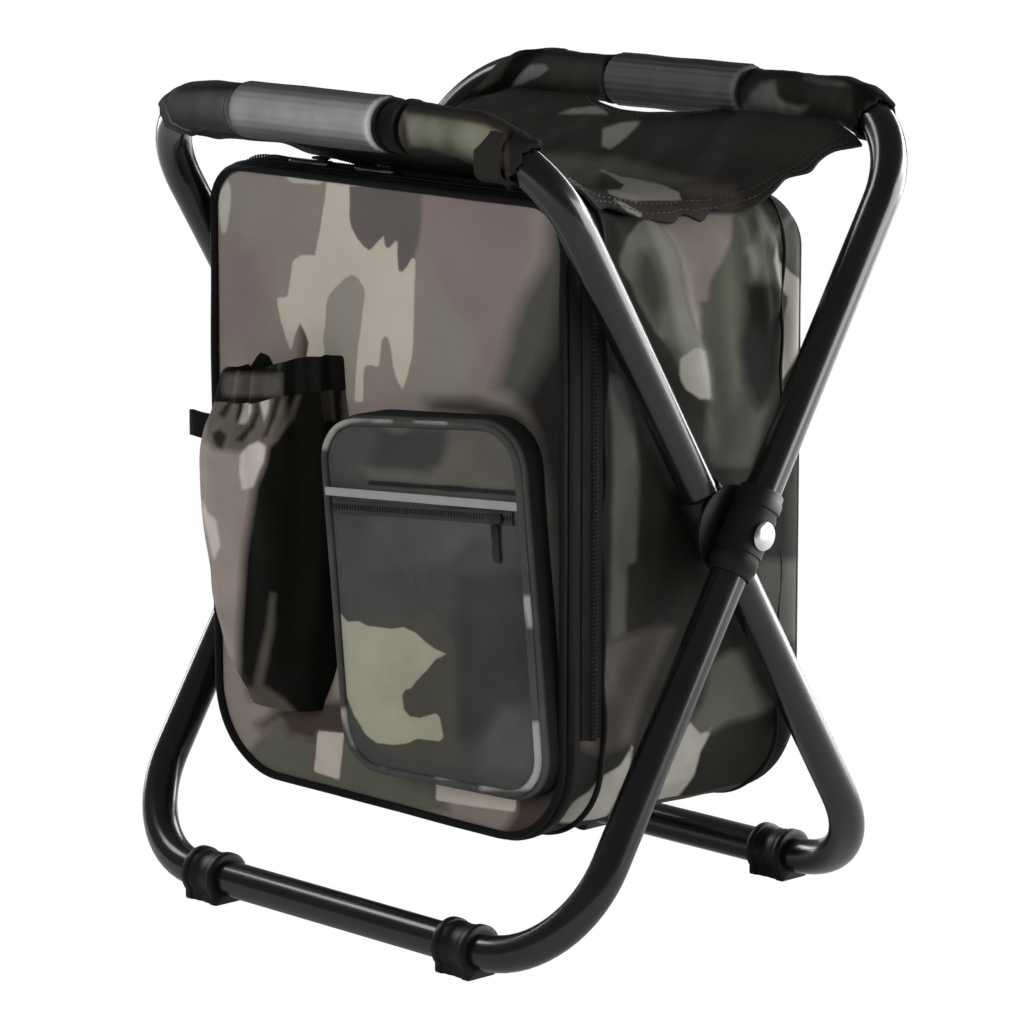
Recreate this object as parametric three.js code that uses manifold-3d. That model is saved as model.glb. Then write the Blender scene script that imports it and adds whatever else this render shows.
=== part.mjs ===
// A folding stool whose crossed tube hoops carry a cloth seat and an insulated cooler backpack.
// Millimetres, +Z up. The origin lies on the ground under the middle of the stool, the front is
// towards -Y (bottle pocket and front pocket) and the shoulder straps are towards +Y.
import * as THREE from "three";
import { mergeVertices } from "three/addons/utils/BufferGeometryUtils.js";
import Module from "manifold-3d";

const wasm = await Module();
wasm.setup();

// Clearances
const SEAT_GAP = 0.3; // between two pieces that touch
const PIN_GAP = 0.3; // between a pivot pin and its holes, on the radius
const CUT_OVERRUN = 1; // how far a cut starts outside the face that it opens

// Frame
const TUBE_RADIUS = 9;
const TUBE_WALL = 1.2;
const OUTER_HALF_WIDTH = 159.5; // to the leg's centre line
const LEG_GAP = 2; // between the outer and the inner leg at the pivot
const TOP_BAR_HEIGHT = 400;
const BOTTOM_BAR_HEIGHT = 13;
const BAR_SPREAD = 238.4; // from the front bar's centre to the rear bar's centre
const TOP_BEND_RADIUS = 52;
const BOTTOM_BEND_RADIUS = 56;
const TUBE_JOINT_DROP = 14; // below the pivot, where a hoop's upper and lower U meet in the collar
const BEND_STEPS = 3; // pairs of facets round a quarter bend
const TUBE_SIDES = 14;
const BORE_SIDES = 8;

// Pivots
const PIVOT_PIN_RADIUS = 3;
const PIVOT_HEAD_RADIUS = 7;
const PIVOT_HEAD_HEIGHT = 2.4;
const PIVOT_TAIL_RADIUS = 4.6; // the riveted inner end
const COLLAR_WALL = 2.4; // moulded collar round each leg at the crossing
const COLLAR_LENGTH = 44;
const COLLAR_MOUTH = 8; // from the leg's centre to the collar's open side
const COLLAR_BEVEL = [3, 1]; // along the leg, and off the radius
const SPACER_RADIUS = 22;

// Grips and the cloth round the bars
const GRIP_RADIUS = 14;
const GRIP_END_RADIUS = 2.5;
const REAR_GRIP_LENGTH = 92;
const REAR_GRIP_MIDDLE = 2;
const FRONT_GRIP_LENGTH = 101;
const FRONT_GRIP_MIDDLE = -9.5;
const BAND_LENGTH = 16;
const BAND_WALL = 4;
const BAND_GROOVE = 1;
const CLOTH = 2; // seat cloth with its hem
const SLEEVE_GAP = 1.5; // along the bar, between a grip and the next sleeve
const REAR_SLEEVE_TURN = 3; // facets of the bend that the sleeve covers
const FRONT_SLEEVE_TURN = 2;

// Feet
const FOOT_LENGTH = 22;
const FOOT_WALL = 2.4;
const FOOT_PAD_WIDTH = 18;
const FOOT_RIB = 1;
const FOOT_RIB_LENGTH = 4;
const FOOT_EDGE = 1; // bevel along the pad's lower edges
const FOOT_TO_BEND = 0.5; // from a foot's outer end to the start of the bar's bend

// Seat cloth between the bars
const SEAT_SIDE_INSET = 23.5; // from a leg's centre line to the cloth's side edge
const SEAT_WAIST_INSET = 38.5; // the same half-way between the bars
const HAND_SLOT_DEPTH = 23; // from the bar's centre to the cut edge of the cloth
const HAND_SLOT_MARGIN = 14; // beyond each end of a grip
const SEAT_LIE = 0.4; // the slack cloth lies this much above the bag's top
const SEAT_CORNER_LEAD = 2.5; // the cloth's corners start to drop this far before the bends
const SEAT_FOLD_DEPTH = 1.6;
const SEAT_FOLDS = 5;
const SEAT_COLUMNS = 22;
const SEAT_ROWS = 15;

// Bag
const BAG_SIDE_GAP = 3.5; // between the bag's side and the inner leg
const BAG_BOTTOM = 58;
const BAG_DROP = 39; // from the top bars' centres down to the bag's top
const DOOR_RISE = 7; // the front panel stands a little above the bag's top
const BAG_FRONT = -78; // front rim of the bag's shell
const BAG_REAR = 78;
const BAG_FRONT_TOP_RADIUS = 24;
const BAG_REAR_TOP_RADIUS = 22;
const BAG_BOTTOM_RADIUS = 46;
const BAG_REAR_RADIUS = 12;
const OUTLINE_STEPS = 5; // facets round each corner of the bag and of the door
const TOP_DIP_DEPTH = 34; // how far behind the front rim the top reaches its lower level
const SHELL_WALL = 2;
const FOAM_WALL = 6;
const LINER_WALL = 1;

// Front door, the zipped front panel
const DOOR_CLOTH = 3;
const DOOR_FOAM = 2.6;
const DOOR_LINER = 0.8;
const PIPING_RADIUS = 2;
const ZIP_WIDTH = 14;
const ZIP_THICKNESS = 1;
const ZIP_LOWER_END = 112; // height of the two lower ends of the U-shaped zip
const ZIP_SLIDERS = [-62, -14]; // places along the top run when the bag is closed
const SLIDER = [12, 8, 3.4]; // along the zip, across it, height
const PULL = [27, 5, 1.4];
const PULL_LIFT = 0.4; // the pull lies this far above its slider's lower face

// Front pocket on the door
const POCKET_FROM_SIDE = 75; // from the bag's right side to the pocket's middle
const POCKET_MIDDLE_HEIGHT = 171.5;
const POCKET_HALF_WIDTH = 62;
const POCKET_HALF_HEIGHT = 89.5;
const POCKET_CORNER = 24;
const POCKET_LEFT_DEPTH = 27;
const POCKET_RIGHT_DEPTH = 13;
const POCKET_LEAN = THREE.MathUtils.degToRad(6);
const POCKET_WALL = 1.6;
const POCKET_EDGE = 3; // chamfer round the pocket's face
const POCKET_INSIDE_EDGE = 4; // the same on the inside
const POCKET_CORD = [4, 1.6]; // the piping's inset from the face's edge, and its radius
const POCKET_SLOT_HEIGHT = 3.6;
const POCKET_SLOT_HALF_LENGTH = 51;
const POCKET_ZIP_RISE = 44; // above the pocket's middle
const POCKET_ZIP = [108, 1, 6];
const REFLECTIVE_STRIP = [112, 0.8, 4];
const POCKET_SLIDER = [9, 3, 5];
const POCKET_PULL = [4, 1.4, 18];

// Bottle pocket on the door
const BOTTLE_FROM_SIDE = 56; // from the bag's left side to the pocket's middle
const BOTTLE_WALL = 2;
const BOTTLE_FLOOR = 100;
const BOTTLE_MOUTH = 268;
const BOTTLE_HEM_HEIGHT = 14;
const BOTTLE_HEM_PROUD = 1; // the gathered hem stands out this much past the pocket's cloth
const BOTTLE_FACETS = 12; // round the half barrel
const BOTTLE_STATIONS = [
  // share of the height, half width, depth, shift of the middle to the right
  [0, 24, 17, 0],
  [0.1, 36, 26, 0],
  [0.28, 46, 33, 0],
  [0.55, 51, 36, 0],
  [0.74, 51, 37, 0],
  [0.9, 44, 33, 3],
  [1, 36, 31, 7],
];

// Side tab, hanging tab and shoulder straps
const SIDE_TAB = [15, 2, 13]; // width, thickness, height
const SIDE_TAB_HEIGHT = 229;
const HANGING_TAB_FROM_SIDE = 13; // from the bag's right side to the tab's middle
const HANGING_TAB_WIDTH = 16;
const HANGING_TAB_ROUND_BAR = [[0, 1], [50, 4], [108, 8]]; // degrees down from the bar's front, slack
const HANGING_TAB_END = [3, 0.5]; // above the door's face, and below the bag's front top edge
const WEBBING = 2;
const STRAP_WIDTH = 54;
const STRAP_THICKNESS = 9;
const STRAP_TOP = [46, 322];
const STRAP_BOTTOM = [70, 146];
const STRAP_BULGE = 27; // how far the strap stands off the bag's back
const STRAP_ROUTE = [[0, 0], [0.12, 0.3], [0.35, 0.85], [0.6, 1], [0.85, 0.8], [1, 0.55]];
const RIBBON_EDGE = 0.7; // bevel of a strap's edges, as a share of half its thickness
const ADJUSTER = [32, 5, 24];
const ADJUSTER_SLOT = [24, 4.5];
const ADJUSTER_CORNER = 3;
const LOWER_WEBBING_WIDTH = 20;
const LOWER_ANCHOR = [84, 100];
const WEBBING_SLACK = 5;
const WEBBING_END = 12; // length of the end that is sewn to the bag
const BUCKLE_GAP = 0.9; // between the adjuster and the strap or the webbing

// Sizes that follow from the ones above
const INNER_HALF_WIDTH = OUTER_HALF_WIDTH - 2 * TUBE_RADIUS - LEG_GAP;
const PIVOT_HEIGHT = (TOP_BAR_HEIGHT + BOTTOM_BAR_HEIGHT) / 2;
const HALF_SPREAD = BAR_SPREAD / 2;
const HALF_RISE = TOP_BAR_HEIGHT - PIVOT_HEIGHT;
const LEG_ANGLE = Math.atan2(HALF_SPREAD, HALF_RISE);
const HOOP_HALF_HEIGHT = Math.hypot(HALF_SPREAD, HALF_RISE);
const SLEEVE_RADIUS = TUBE_RADIUS + SEAT_GAP + CLOTH;
const COLLAR_RADIUS = TUBE_RADIUS + SEAT_GAP + COLLAR_WALL;
const SEAT_REAR_HALF_WIDTH = OUTER_HALF_WIDTH - SEAT_SIDE_INSET;
const SEAT_FRONT_HALF_WIDTH = INNER_HALF_WIDTH - SEAT_SIDE_INSET;
const SEAT_MIDDLE_HALF_WIDTH = OUTER_HALF_WIDTH - SEAT_WAIST_INSET;
const BAG_HALF_WIDTH = INNER_HALF_WIDTH - TUBE_RADIUS - BAG_SIDE_GAP;
const BAG_TOP = TOP_BAR_HEIGHT - BAG_DROP;
const DOOR_TOP = BAG_TOP + DOOR_RISE;
const POCKET_MIDDLE = [BAG_HALF_WIDTH - POCKET_FROM_SIDE, POCKET_MIDDLE_HEIGHT]; // X and Z
const BOTTLE_MIDDLE = BOTTLE_FROM_SIDE - BAG_HALF_WIDTH;
const HANGING_TAB_PLACE = BAG_HALF_WIDTH - HANGING_TAB_FROM_SIDE;
const DOOR_BACK = BAG_FRONT - SEAT_GAP;
const DOOR_FACE = DOOR_BACK - DOOR_LINER - DOOR_FOAM - DOOR_CLOTH - 2 * SEAT_GAP;
const FOOT_BORE = TUBE_RADIUS + SEAT_GAP;
const FRONT_GRIP_END = FRONT_GRIP_MIDDLE + FRONT_GRIP_LENGTH / 2;

// Finishes
function finish(color, roughness, metalness = 0) {
  return new THREE.MeshStandardMaterial({ color, roughness, metalness });
}
const blackEnamel = finish(0x17171a, 0.28, 0.5);
const blackPlastic = finish(0x141416, 0.5);
const greyGripFoam = finish(0x55565a, 0.55);
const darkGripFoam = finish(0x38383c, 0.6);
const darkCamouflage = finish(0x31332c, 0.85);
const paleCamouflage = finish(0x6b6460, 0.85);
const blackBinding = finish(0x1b1a1b, 0.8);
const brownWebbing = finish(0x37322f, 0.85);
const reflectiveTape = finish(0xb4b6b4, 0.35);
const foilLining = finish(0xc4c8cc, 0.3, 0.7);
const whiteFoam = finish(0xdcdcd6, 0.9);
const steel = finish(0x9a9c9e, 0.35, 0.9);

// A named mesh of one piece, placed in its group.
function piece(group, name, geometry, material, place = [0, 0, 0]) {
  const mesh = new THREE.Mesh(geometry, material);
  mesh.name = name;
  mesh.position.set(...place);
  group.add(mesh);
  return mesh;
}

// A geometry as a solid that can be joined and cut.
function toSolid(geometry) {
  const bare = geometry.clone();
  bare.deleteAttribute("normal");
  bare.deleteAttribute("uv");
  const merged = mergeVertices(bare, 1e-4);
  return new wasm.Manifold(
    new wasm.Mesh({
      numProp: 3,
      vertProperties: merged.attributes.position.array,
      triVerts: new Uint32Array(merged.index.array),
    }),
  );
}

// A solid as a geometry with flat faces.
function toGeometry(solid) {
  const made = solid.getMesh();
  const geometry = new THREE.BufferGeometry();
  geometry.setAttribute("position", new THREE.BufferAttribute(made.vertProperties, 3));
  geometry.setIndex(new THREE.BufferAttribute(made.triVerts, 1));
  const flat = geometry.toNonIndexed();
  flat.computeVertexNormals();
  return flat;
}

function cut(geometry, ...tools) {
  return toGeometry(tools.reduce((solid, tool) => solid.subtract(toSolid(tool)), toSolid(geometry)));
}

function join(geometry, ...others) {
  return toGeometry(others.reduce((solid, other) => solid.add(toSolid(other)), toSolid(geometry)));
}

function box(size, place = [0, 0, 0]) {
  return new THREE.BoxGeometry(...size).translate(...place);
}

// A cylinder lying along X.
function rodAlongX(radius, from, to, sides = 24) {
  const rod = new THREE.CylinderGeometry(radius, radius, to - from, sides);
  return rod.rotateZ(Math.PI / 2).translate((from + to) / 2, 0, 0);
}

// A ring lying along X, turned from a closed profile of [distance along X, radius] points.
function turnedAlongX(profile, sides) {
  const points = profile.map(([along, radius]) => new THREE.Vector2(radius, along));
  points.push(points[0].clone());
  return orient(new THREE.LatheGeometry(points, sides).rotateZ(-Math.PI / 2));
}

// Turns a closed geometry's faces outwards.
function orient(geometry) {
  const flat = geometry.index ? geometry.toNonIndexed() : geometry;
  const p = flat.attributes.position;
  const [a, b, c] = [new THREE.Vector3(), new THREE.Vector3(), new THREE.Vector3()];
  let volume = 0;
  for (let i = 0; i < p.count; i += 3) {
    a.fromBufferAttribute(p, i);
    b.fromBufferAttribute(p, i + 1);
    c.fromBufferAttribute(p, i + 2);
    volume += a.dot(b.cross(c));
  }
  if (volume < 0) {
    for (let i = 0; i < p.count; i += 3) {
      a.fromBufferAttribute(p, i);
      b.fromBufferAttribute(p, i + 1);
      p.setXYZ(i, b.x, b.y, b.z);
      p.setXYZ(i + 1, a.x, a.y, a.z);
    }
  }
  return flat;
}

// A closed body through a row of rings with equally many points, capped at both ends.
function loft(rings) {
  const corners = [];
  const count = rings[0].length;
  for (let r = 0; r + 1 < rings.length; r += 1) {
    for (let i = 0; i < count; i += 1) {
      const j = (i + 1) % count;
      corners.push(rings[r][i], rings[r][j], rings[r + 1][j]);
      corners.push(rings[r][i], rings[r + 1][j], rings[r + 1][i]);
    }
  }
  for (const [ring, turned] of [[rings[0], true], [rings.at(-1), false]]) {
    const middle = new THREE.Vector3();
    ring.forEach((point) => middle.addScaledVector(point, 1 / count));
    for (let i = 0; i < count; i += 1) {
      const j = (i + 1) % count;
      corners.push(middle, ring[turned ? j : i], ring[turned ? i : j]);
    }
  }
  return orient(new THREE.BufferGeometry().setFromPoints(corners));
}

// Points round a rectangle with round corners, from its lower to its upper limits.
function roundedRectangle(halfWidth, low, high, lowRadius, highRadius, steps = OUTLINE_STEPS) {
  const outline = new THREE.Path();
  const right = Math.PI / 2;
  outline.absarc(halfWidth - highRadius, high - highRadius, highRadius, 0, right);
  outline.absarc(highRadius - halfWidth, high - highRadius, highRadius, right, 2 * right);
  outline.absarc(lowRadius - halfWidth, low + lowRadius, lowRadius, 2 * right, 3 * right);
  outline.absarc(halfWidth - lowRadius, low + lowRadius, lowRadius, 3 * right, 4 * right);
  const points = [];
  for (const curve of outline.curves) {
    if (curve.isLineCurve) continue;
    for (let i = 0; i <= steps; i += 1) points.push(curve.getPoint(i / steps));
  }
  return points;
}

// An upright ring at one depth, from points in X and Z.
function ringAt(y, outline) {
  return outline.map((point) => new THREE.Vector3(point.x, y, point.y));
}

// A centre line given as stations, so a straight run is one step and a bend has several.
class StationPath extends THREE.Curve {
  constructor(stations, closed = false) {
    super();
    this.stations = stations;
    this.steps = closed ? stations.length : stations.length - 1;
    this.closed = closed;
  }

  getUtoTmapping(u) {
    return u;
  }

  station(index) {
    const count = this.stations.length;
    if (this.closed) return this.stations[((index % count) + count) % count];
    return this.stations[Math.max(0, Math.min(count - 1, index))];
  }

  getPoint(t, target = new THREE.Vector3()) {
    const step = Math.min(Math.floor(t * this.steps + 1e-9), this.steps - 1);
    return target.lerpVectors(this.station(step), this.station(step + 1), t * this.steps - step);
  }

  getTangent(t, target = new THREE.Vector3()) {
    const index = Math.round(t * this.steps);
    const before = new THREE.Vector3().subVectors(this.station(index), this.station(index - 1));
    const after = new THREE.Vector3().subVectors(this.station(index + 1), this.station(index));
    return target.copy(before.normalize()).add(after.normalize()).normalize();
  }
}

// Where the top bar's centre line lies in its hoop, at a distance along the bar from its middle.
function topBarPoint(halfWidth, along) {
  const straight = halfWidth - TOP_BEND_RADIUS;
  const turn = Math.max(0, Math.abs(along) - straight) / TOP_BEND_RADIUS;
  const x = Math.min(Math.abs(along), straight) + TOP_BEND_RADIUS * Math.sin(turn);
  const drop = TOP_BEND_RADIUS * (1 - Math.cos(turn));
  return new THREE.Vector3(Math.sign(along) * x, 0, HOOP_HALF_HEIGHT - drop);
}

// One bent hoop of tube, hollow, with the pivot pins' holes through both legs.
function hoop(halfWidth) {
  const outline = new THREE.Path();
  const right = Math.PI / 2;
  const [rt, rb] = [TOP_BEND_RADIUS, BOTTOM_BEND_RADIUS];
  outline.absarc(halfWidth - rt, HOOP_HALF_HEIGHT - rt, rt, 0, right);
  outline.absarc(rt - halfWidth, HOOP_HALF_HEIGHT - rt, rt, right, 2 * right);
  outline.absarc(rb - halfWidth, rb - HOOP_HALF_HEIGHT, rb, 2 * right, 3 * right);
  outline.absarc(halfWidth - rb, rb - HOOP_HALF_HEIGHT, rb, 3 * right, 4 * right);
  const stations = outline.getPoints(BEND_STEPS).map((p) => new THREE.Vector3(p.x, 0, p.y));
  const path = new StationPath(stations, true);
  const skin = new THREE.TubeGeometry(path, path.steps, TUBE_RADIUS, TUBE_SIDES, true);
  const bore = new THREE.TubeGeometry(path, path.steps, TUBE_RADIUS - TUBE_WALL, BORE_SIDES, true);
  const pinHole = rodAlongX(
    PIVOT_PIN_RADIUS + PIN_GAP,
    -halfWidth - 2 * TUBE_RADIUS,
    halfWidth + 2 * TUBE_RADIUS,
    12,
  );
  return cut(skin, bore, pinHole);
}

// A hoop's upper U (side 1) or lower U (side -1). They meet end to end inside the collars.
function hoopHalf(halfWidth, side) {
  const size = 4 * HOOP_HALF_HEIGHT;
  const face = (side * SEAT_GAP) / 2 - TUBE_JOINT_DROP;
  return cut(hoop(halfWidth), box([size, size, size], [0, 0, face - (side * size) / 2]));
}

// A cloth sleeve round the top bar, from a distance along it to some facets into the bend.
function sleeve(halfWidth, start, bendFacets) {
  const side = Math.sign(start);
  const facet = (TOP_BEND_RADIUS * Math.PI) / 4 / BEND_STEPS;
  const stations = [topBarPoint(halfWidth, start)];
  for (let i = 0; i <= bendFacets; i += 1) {
    stations.push(topBarPoint(halfWidth, side * (halfWidth - TOP_BEND_RADIUS + i * facet)));
  }
  const path = new StationPath(stations);
  const section = new THREE.Shape().absarc(0, 0, SLEEVE_RADIUS, 0, 2 * Math.PI);
  const bore = (TUBE_RADIUS + SEAT_GAP) / Math.cos(Math.PI / TUBE_SIDES); // its flats clear the tube
  section.holes.push(new THREE.Path().absarc(0, 0, bore, 0, 2 * Math.PI, true));
  return new THREE.ExtrudeGeometry(section, {
    steps: path.steps,
    curveSegments: TUBE_SIDES / 2,
    extrudePath: path,
    bevelEnabled: false,
  });
}

// A foam grip: a thick ring with rounded shoulders, along X from its middle.
function grip(length) {
  const half = length / 2;
  const bore = TUBE_RADIUS + SEAT_GAP;
  const r = GRIP_END_RADIUS;
  const profile = [[-half, bore], [half, bore]];
  for (let i = 0; i <= 2; i += 1) {
    const turn = (i * Math.PI) / 4;
    profile.push([half - r + r * Math.cos(turn), GRIP_RADIUS - r + r * Math.sin(turn)]);
  }
  for (let i = 2; i >= 0; i -= 1) {
    const turn = (i * Math.PI) / 4;
    profile.push([r - half - r * Math.cos(turn), GRIP_RADIUS - r + r * Math.sin(turn)]);
  }
  return turnedAlongX(profile, 20);
}

// The binding band at the front grip's end: a ring with a shallow groove.
function gripBand() {
  const half = BAND_LENGTH / 2;
  const bore = TUBE_RADIUS + SEAT_GAP;
  const outer = bore + BAND_WALL;
  const rim = BAND_LENGTH / 5;
  const profile = [
    [-half, bore],
    [half, bore],
    [half, outer],
    [half - rim, outer],
    [half - rim, outer - BAND_GROOVE],
    [rim - half, outer - BAND_GROOVE],
    [rim - half, outer],
    [-half, outer],
  ];
  return turnedAlongX(profile, 20);
}

// A moulded collar snapped on a leg at the crossing, open towards the other leg.
function pivotCollar(openSide, holeRadius) {
  const half = COLLAR_LENGTH / 2;
  const bore = TUBE_RADIUS + SEAT_GAP;
  const [bevelLength, bevelDepth] = COLLAR_BEVEL;
  const profile = [
    [-half, bore],
    [half, bore],
    [half, COLLAR_RADIUS - bevelDepth],
    [half - bevelLength, COLLAR_RADIUS],
    [bevelLength - half, COLLAR_RADIUS],
    [-half, COLLAR_RADIUS - bevelDepth],
  ];
  const ring = turnedAlongX(profile, 20).rotateY(Math.PI / 2);
  const reach = 2 * COLLAR_RADIUS;
  const mouth = box([reach, reach, 2 * COLLAR_LENGTH], [openSide * (COLLAR_MOUTH + reach / 2), 0, 0]);
  return cut(ring, mouth, rodAlongX(holeRadius, -reach, reach, 12));
}

// The pivot pin: a round shank with a domed head outside and a flat one inside.
function pivotPin() {
  const innerFace = INNER_HALF_WIDTH - TUBE_RADIUS - SEAT_GAP;
  const outerFace = OUTER_HALF_WIDTH + COLLAR_RADIUS + SEAT_GAP;
  const innerHead = COLLAR_WALL - SEAT_GAP;
  const r = PIVOT_PIN_RADIUS;
  const profile = [
    [innerFace - innerHead, 0],
    [innerFace - innerHead, PIVOT_TAIL_RADIUS],
    [innerFace, PIVOT_TAIL_RADIUS],
    [innerFace, r],
    [outerFace, r],
  ];
  const domeSteps = 3;
  for (let i = 0; i < domeSteps; i += 1) {
    const turn = (i * Math.PI) / 2 / domeSteps;
    profile.push([
      outerFace + PIVOT_HEAD_HEIGHT * Math.sin(turn),
      PIVOT_HEAD_RADIUS * Math.cos(turn),
    ]);
  }
  profile.push([outerFace + PIVOT_HEAD_HEIGHT, 0]);
  const points = profile.map(([along, radius]) => new THREE.Vector2(radius, along));
  return orient(new THREE.LatheGeometry(points, 16).rotateZ(-Math.PI / 2));
}

// The thin round spacer between the two legs.
function pivotSpacer() {
  const half = LEG_GAP / 2 - SEAT_GAP;
  const hole = PIVOT_PIN_RADIUS + PIN_GAP;
  return turnedAlongX([[-half, hole], [half, hole], [half, SPACER_RADIUS], [-half, SPACER_RADIUS]], 24);
}

// A clip-on foot: a saddle round the bottom bar with a flat pad under it and a rib at each end.
function foot() {
  function slice(wall, length, middle) {
    const radius = FOOT_BORE + wall;
    const half = FOOT_PAD_WIDTH / 2 + wall - FOOT_WALL;
    const shape = new THREE.Shape();
    const low = -BOTTOM_BAR_HEIGHT;
    const start = Math.atan2(-Math.sqrt(radius ** 2 - half ** 2), half);
    shape.moveTo(half - FOOT_EDGE, low);
    shape.lineTo(half, low + FOOT_EDGE);
    shape.absarc(0, 0, radius, start, Math.PI - start);
    shape.lineTo(-half, low + FOOT_EDGE);
    shape.lineTo(FOOT_EDGE - half, low);
    const slab = new THREE.ExtrudeGeometry(shape, { depth: length, bevelEnabled: false, curveSegments: 7 });
    return slab.rotateX(Math.PI / 2).rotateZ(Math.PI / 2).translate(middle - length / 2, 0, 0);
  }
  const ribPlace = (FOOT_LENGTH - FOOT_RIB_LENGTH) / 2;
  const ribWall = FOOT_WALL + FOOT_RIB;
  const body = join(
    slice(FOOT_WALL, FOOT_LENGTH, 0),
    slice(ribWall, FOOT_RIB_LENGTH, ribPlace),
    slice(ribWall, FOOT_RIB_LENGTH, -ribPlace),
  );
  return cut(body, rodAlongX(FOOT_BORE, -FOOT_LENGTH, FOOT_LENGTH, TUBE_SIDES));
}

// The stations of the bag's outer form from the front rim to the rear, drawn in by an inset.
function bagRings(inset) {
  function ring(y, drawIn, top, topRadius) {
    const radius = Math.max(1, topRadius - inset - drawIn / 2);
    const lowRadius = Math.max(1, BAG_BOTTOM_RADIUS - inset - drawIn / 2);
    const margin = inset + drawIn;
    const low = BAG_BOTTOM + margin;
    return ringAt(y, roundedRectangle(BAG_HALF_WIDTH - margin, low, top - margin, lowRadius, radius));
  }
  const underZip = BAG_FRONT + ZIP_WIDTH + 2 * SEAT_GAP;
  const rings = [
    ring(BAG_FRONT, 0, DOOR_TOP, BAG_FRONT_TOP_RADIUS),
    ring(underZip, 0, DOOR_TOP, BAG_FRONT_TOP_RADIUS),
    ring(BAG_FRONT + TOP_DIP_DEPTH, 0, BAG_TOP, BAG_REAR_TOP_RADIUS),
  ];
  const bendSteps = 4;
  for (let i = 0; i <= bendSteps; i += 1) {
    const turn = (i * Math.PI) / 2 / bendSteps;
    const y = BAG_REAR - BAG_REAR_RADIUS + (BAG_REAR_RADIUS - inset) * Math.sin(turn);
    rings.push(ring(y, (BAG_REAR_RADIUS - inset) * (1 - Math.cos(turn)), BAG_TOP, BAG_REAR_TOP_RADIUS));
  }
  return rings;
}

// One layer of the bag, between two insets from its outer form, open at the front.
function bagLayer(outerInset, wall) {
  const hollow = bagRings(outerInset + wall);
  const mouth = hollow[0].map((point) => point.clone().setY(BAG_FRONT - CUT_OVERRUN));
  return cut(loft(bagRings(outerInset)), loft([mouth, ...hollow]));
}

function doorOutline(inset = 0) {
  return roundedRectangle(
    BAG_HALF_WIDTH - inset,
    BAG_BOTTOM + inset,
    DOOR_TOP - inset,
    BAG_BOTTOM_RADIUS - inset,
    BAG_FRONT_TOP_RADIUS - inset,
  );
}

// A flat layer of the door between two depths.
function doorLayer(back, thickness, inset) {
  return loft([ringAt(back - thickness, doorOutline(inset)), ringAt(back, doorOutline(inset))]);
}

// The zip's tape band, which lies round the bag's front rim except along its bottom.
function zipBand() {
  const from = BAG_FRONT + SEAT_GAP;
  function band(offset, overrun) {
    return loft([
      ringAt(from - overrun, doorOutline(-offset)),
      ringAt(from + ZIP_WIDTH + overrun, doorOutline(-offset)),
    ]);
  }
  const reach = 2 * (ZIP_LOWER_END - BAG_BOTTOM);
  const below = box([3 * BAG_HALF_WIDTH, 4 * ZIP_WIDTH, reach], [0, BAG_FRONT, ZIP_LOWER_END - reach / 2]);
  return cut(band(SEAT_GAP + ZIP_THICKNESS, 0), band(SEAT_GAP, CUT_OVERRUN), below);
}

// A cord of piping that follows the edge of a panel.
function piping(outline, y, radius = PIPING_RADIUS) {
  const path = new StationPath(ringAt(y, outline), true);
  return orient(new THREE.TubeGeometry(path, path.steps, radius, 6, true));
}

// A zip slider: a low body with a raised bridge for the pull, from its lower face upwards.
function slider([length, width, height]) {
  const bodyHeight = height * 0.75;
  const bridge = box([length / 3, width / 3, height / 2], [0, 0, height * 0.75]);
  return join(box([length, width, bodyHeight], [0, 0, bodyHeight / 2]), bridge);
}

// The front pocket's face stands further out on its left than on its right.
function pocketDepth(x) {
  const share = (x + POCKET_HALF_WIDTH) / (2 * POCKET_HALF_WIDTH);
  return THREE.MathUtils.lerp(POCKET_LEFT_DEPTH, POCKET_RIGHT_DEPTH, share);
}

function pocketRing(inset, depthShare, less, back = 0) {
  const outline = roundedRectangle(
    POCKET_HALF_WIDTH - inset,
    inset - POCKET_HALF_HEIGHT,
    POCKET_HALF_HEIGHT - inset,
    POCKET_CORNER - inset,
    POCKET_CORNER - inset,
  );
  return outline.map(
    (p) => new THREE.Vector3(p.x, back - Math.max(0, pocketDepth(p.x) * depthShare - less), p.y),
  );
}

// The front pocket's cloth: a face and a gusset, with a long slot for its zip.
function frontPocket() {
  const edge = POCKET_EDGE;
  const outer = loft([pocketRing(0, 0, 0), pocketRing(0, 1, edge), pocketRing(edge, 1, 0)]);
  const inner = loft([
    pocketRing(POCKET_WALL, 0, 0, CUT_OVERRUN),
    pocketRing(POCKET_WALL, 1, edge),
    pocketRing(POCKET_INSIDE_EDGE, 1, POCKET_WALL),
  ]);
  const slot = box(
    [2 * POCKET_SLOT_HALF_LENGTH, 2 * POCKET_LEFT_DEPTH, POCKET_SLOT_HEIGHT],
    [0, -POCKET_LEFT_DEPTH, POCKET_ZIP_RISE],
  );
  return cut(outer, inner, slot);
}

// The bottle pocket's half barrel at its stations, drawn in by an inset.
function bottleRings(inset, rise, back) {
  return BOTTLE_STATIONS.map(([share, halfWidth, depth, shift]) => {
    const ring = [
      new THREE.Vector3(halfWidth - inset, back, 0),
      new THREE.Vector3(inset - halfWidth, back, 0),
    ];
    for (let i = 0; i <= BOTTLE_FACETS; i += 1) {
      const turn = Math.PI + (i * Math.PI) / BOTTLE_FACETS;
      ring.push(
        new THREE.Vector3((halfWidth - inset) * Math.cos(turn), (depth - inset) * Math.sin(turn), 0),
      );
    }
    const height = BOTTLE_MOUTH - BOTTLE_FLOOR;
    ring.forEach((point) => {
      point.y += DOOR_FACE - SEAT_GAP;
      point.x += BOTTLE_MIDDLE + shift;
      point.z = BOTTLE_FLOOR + share * height + rise;
    });
    return ring;
  });
}

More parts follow.
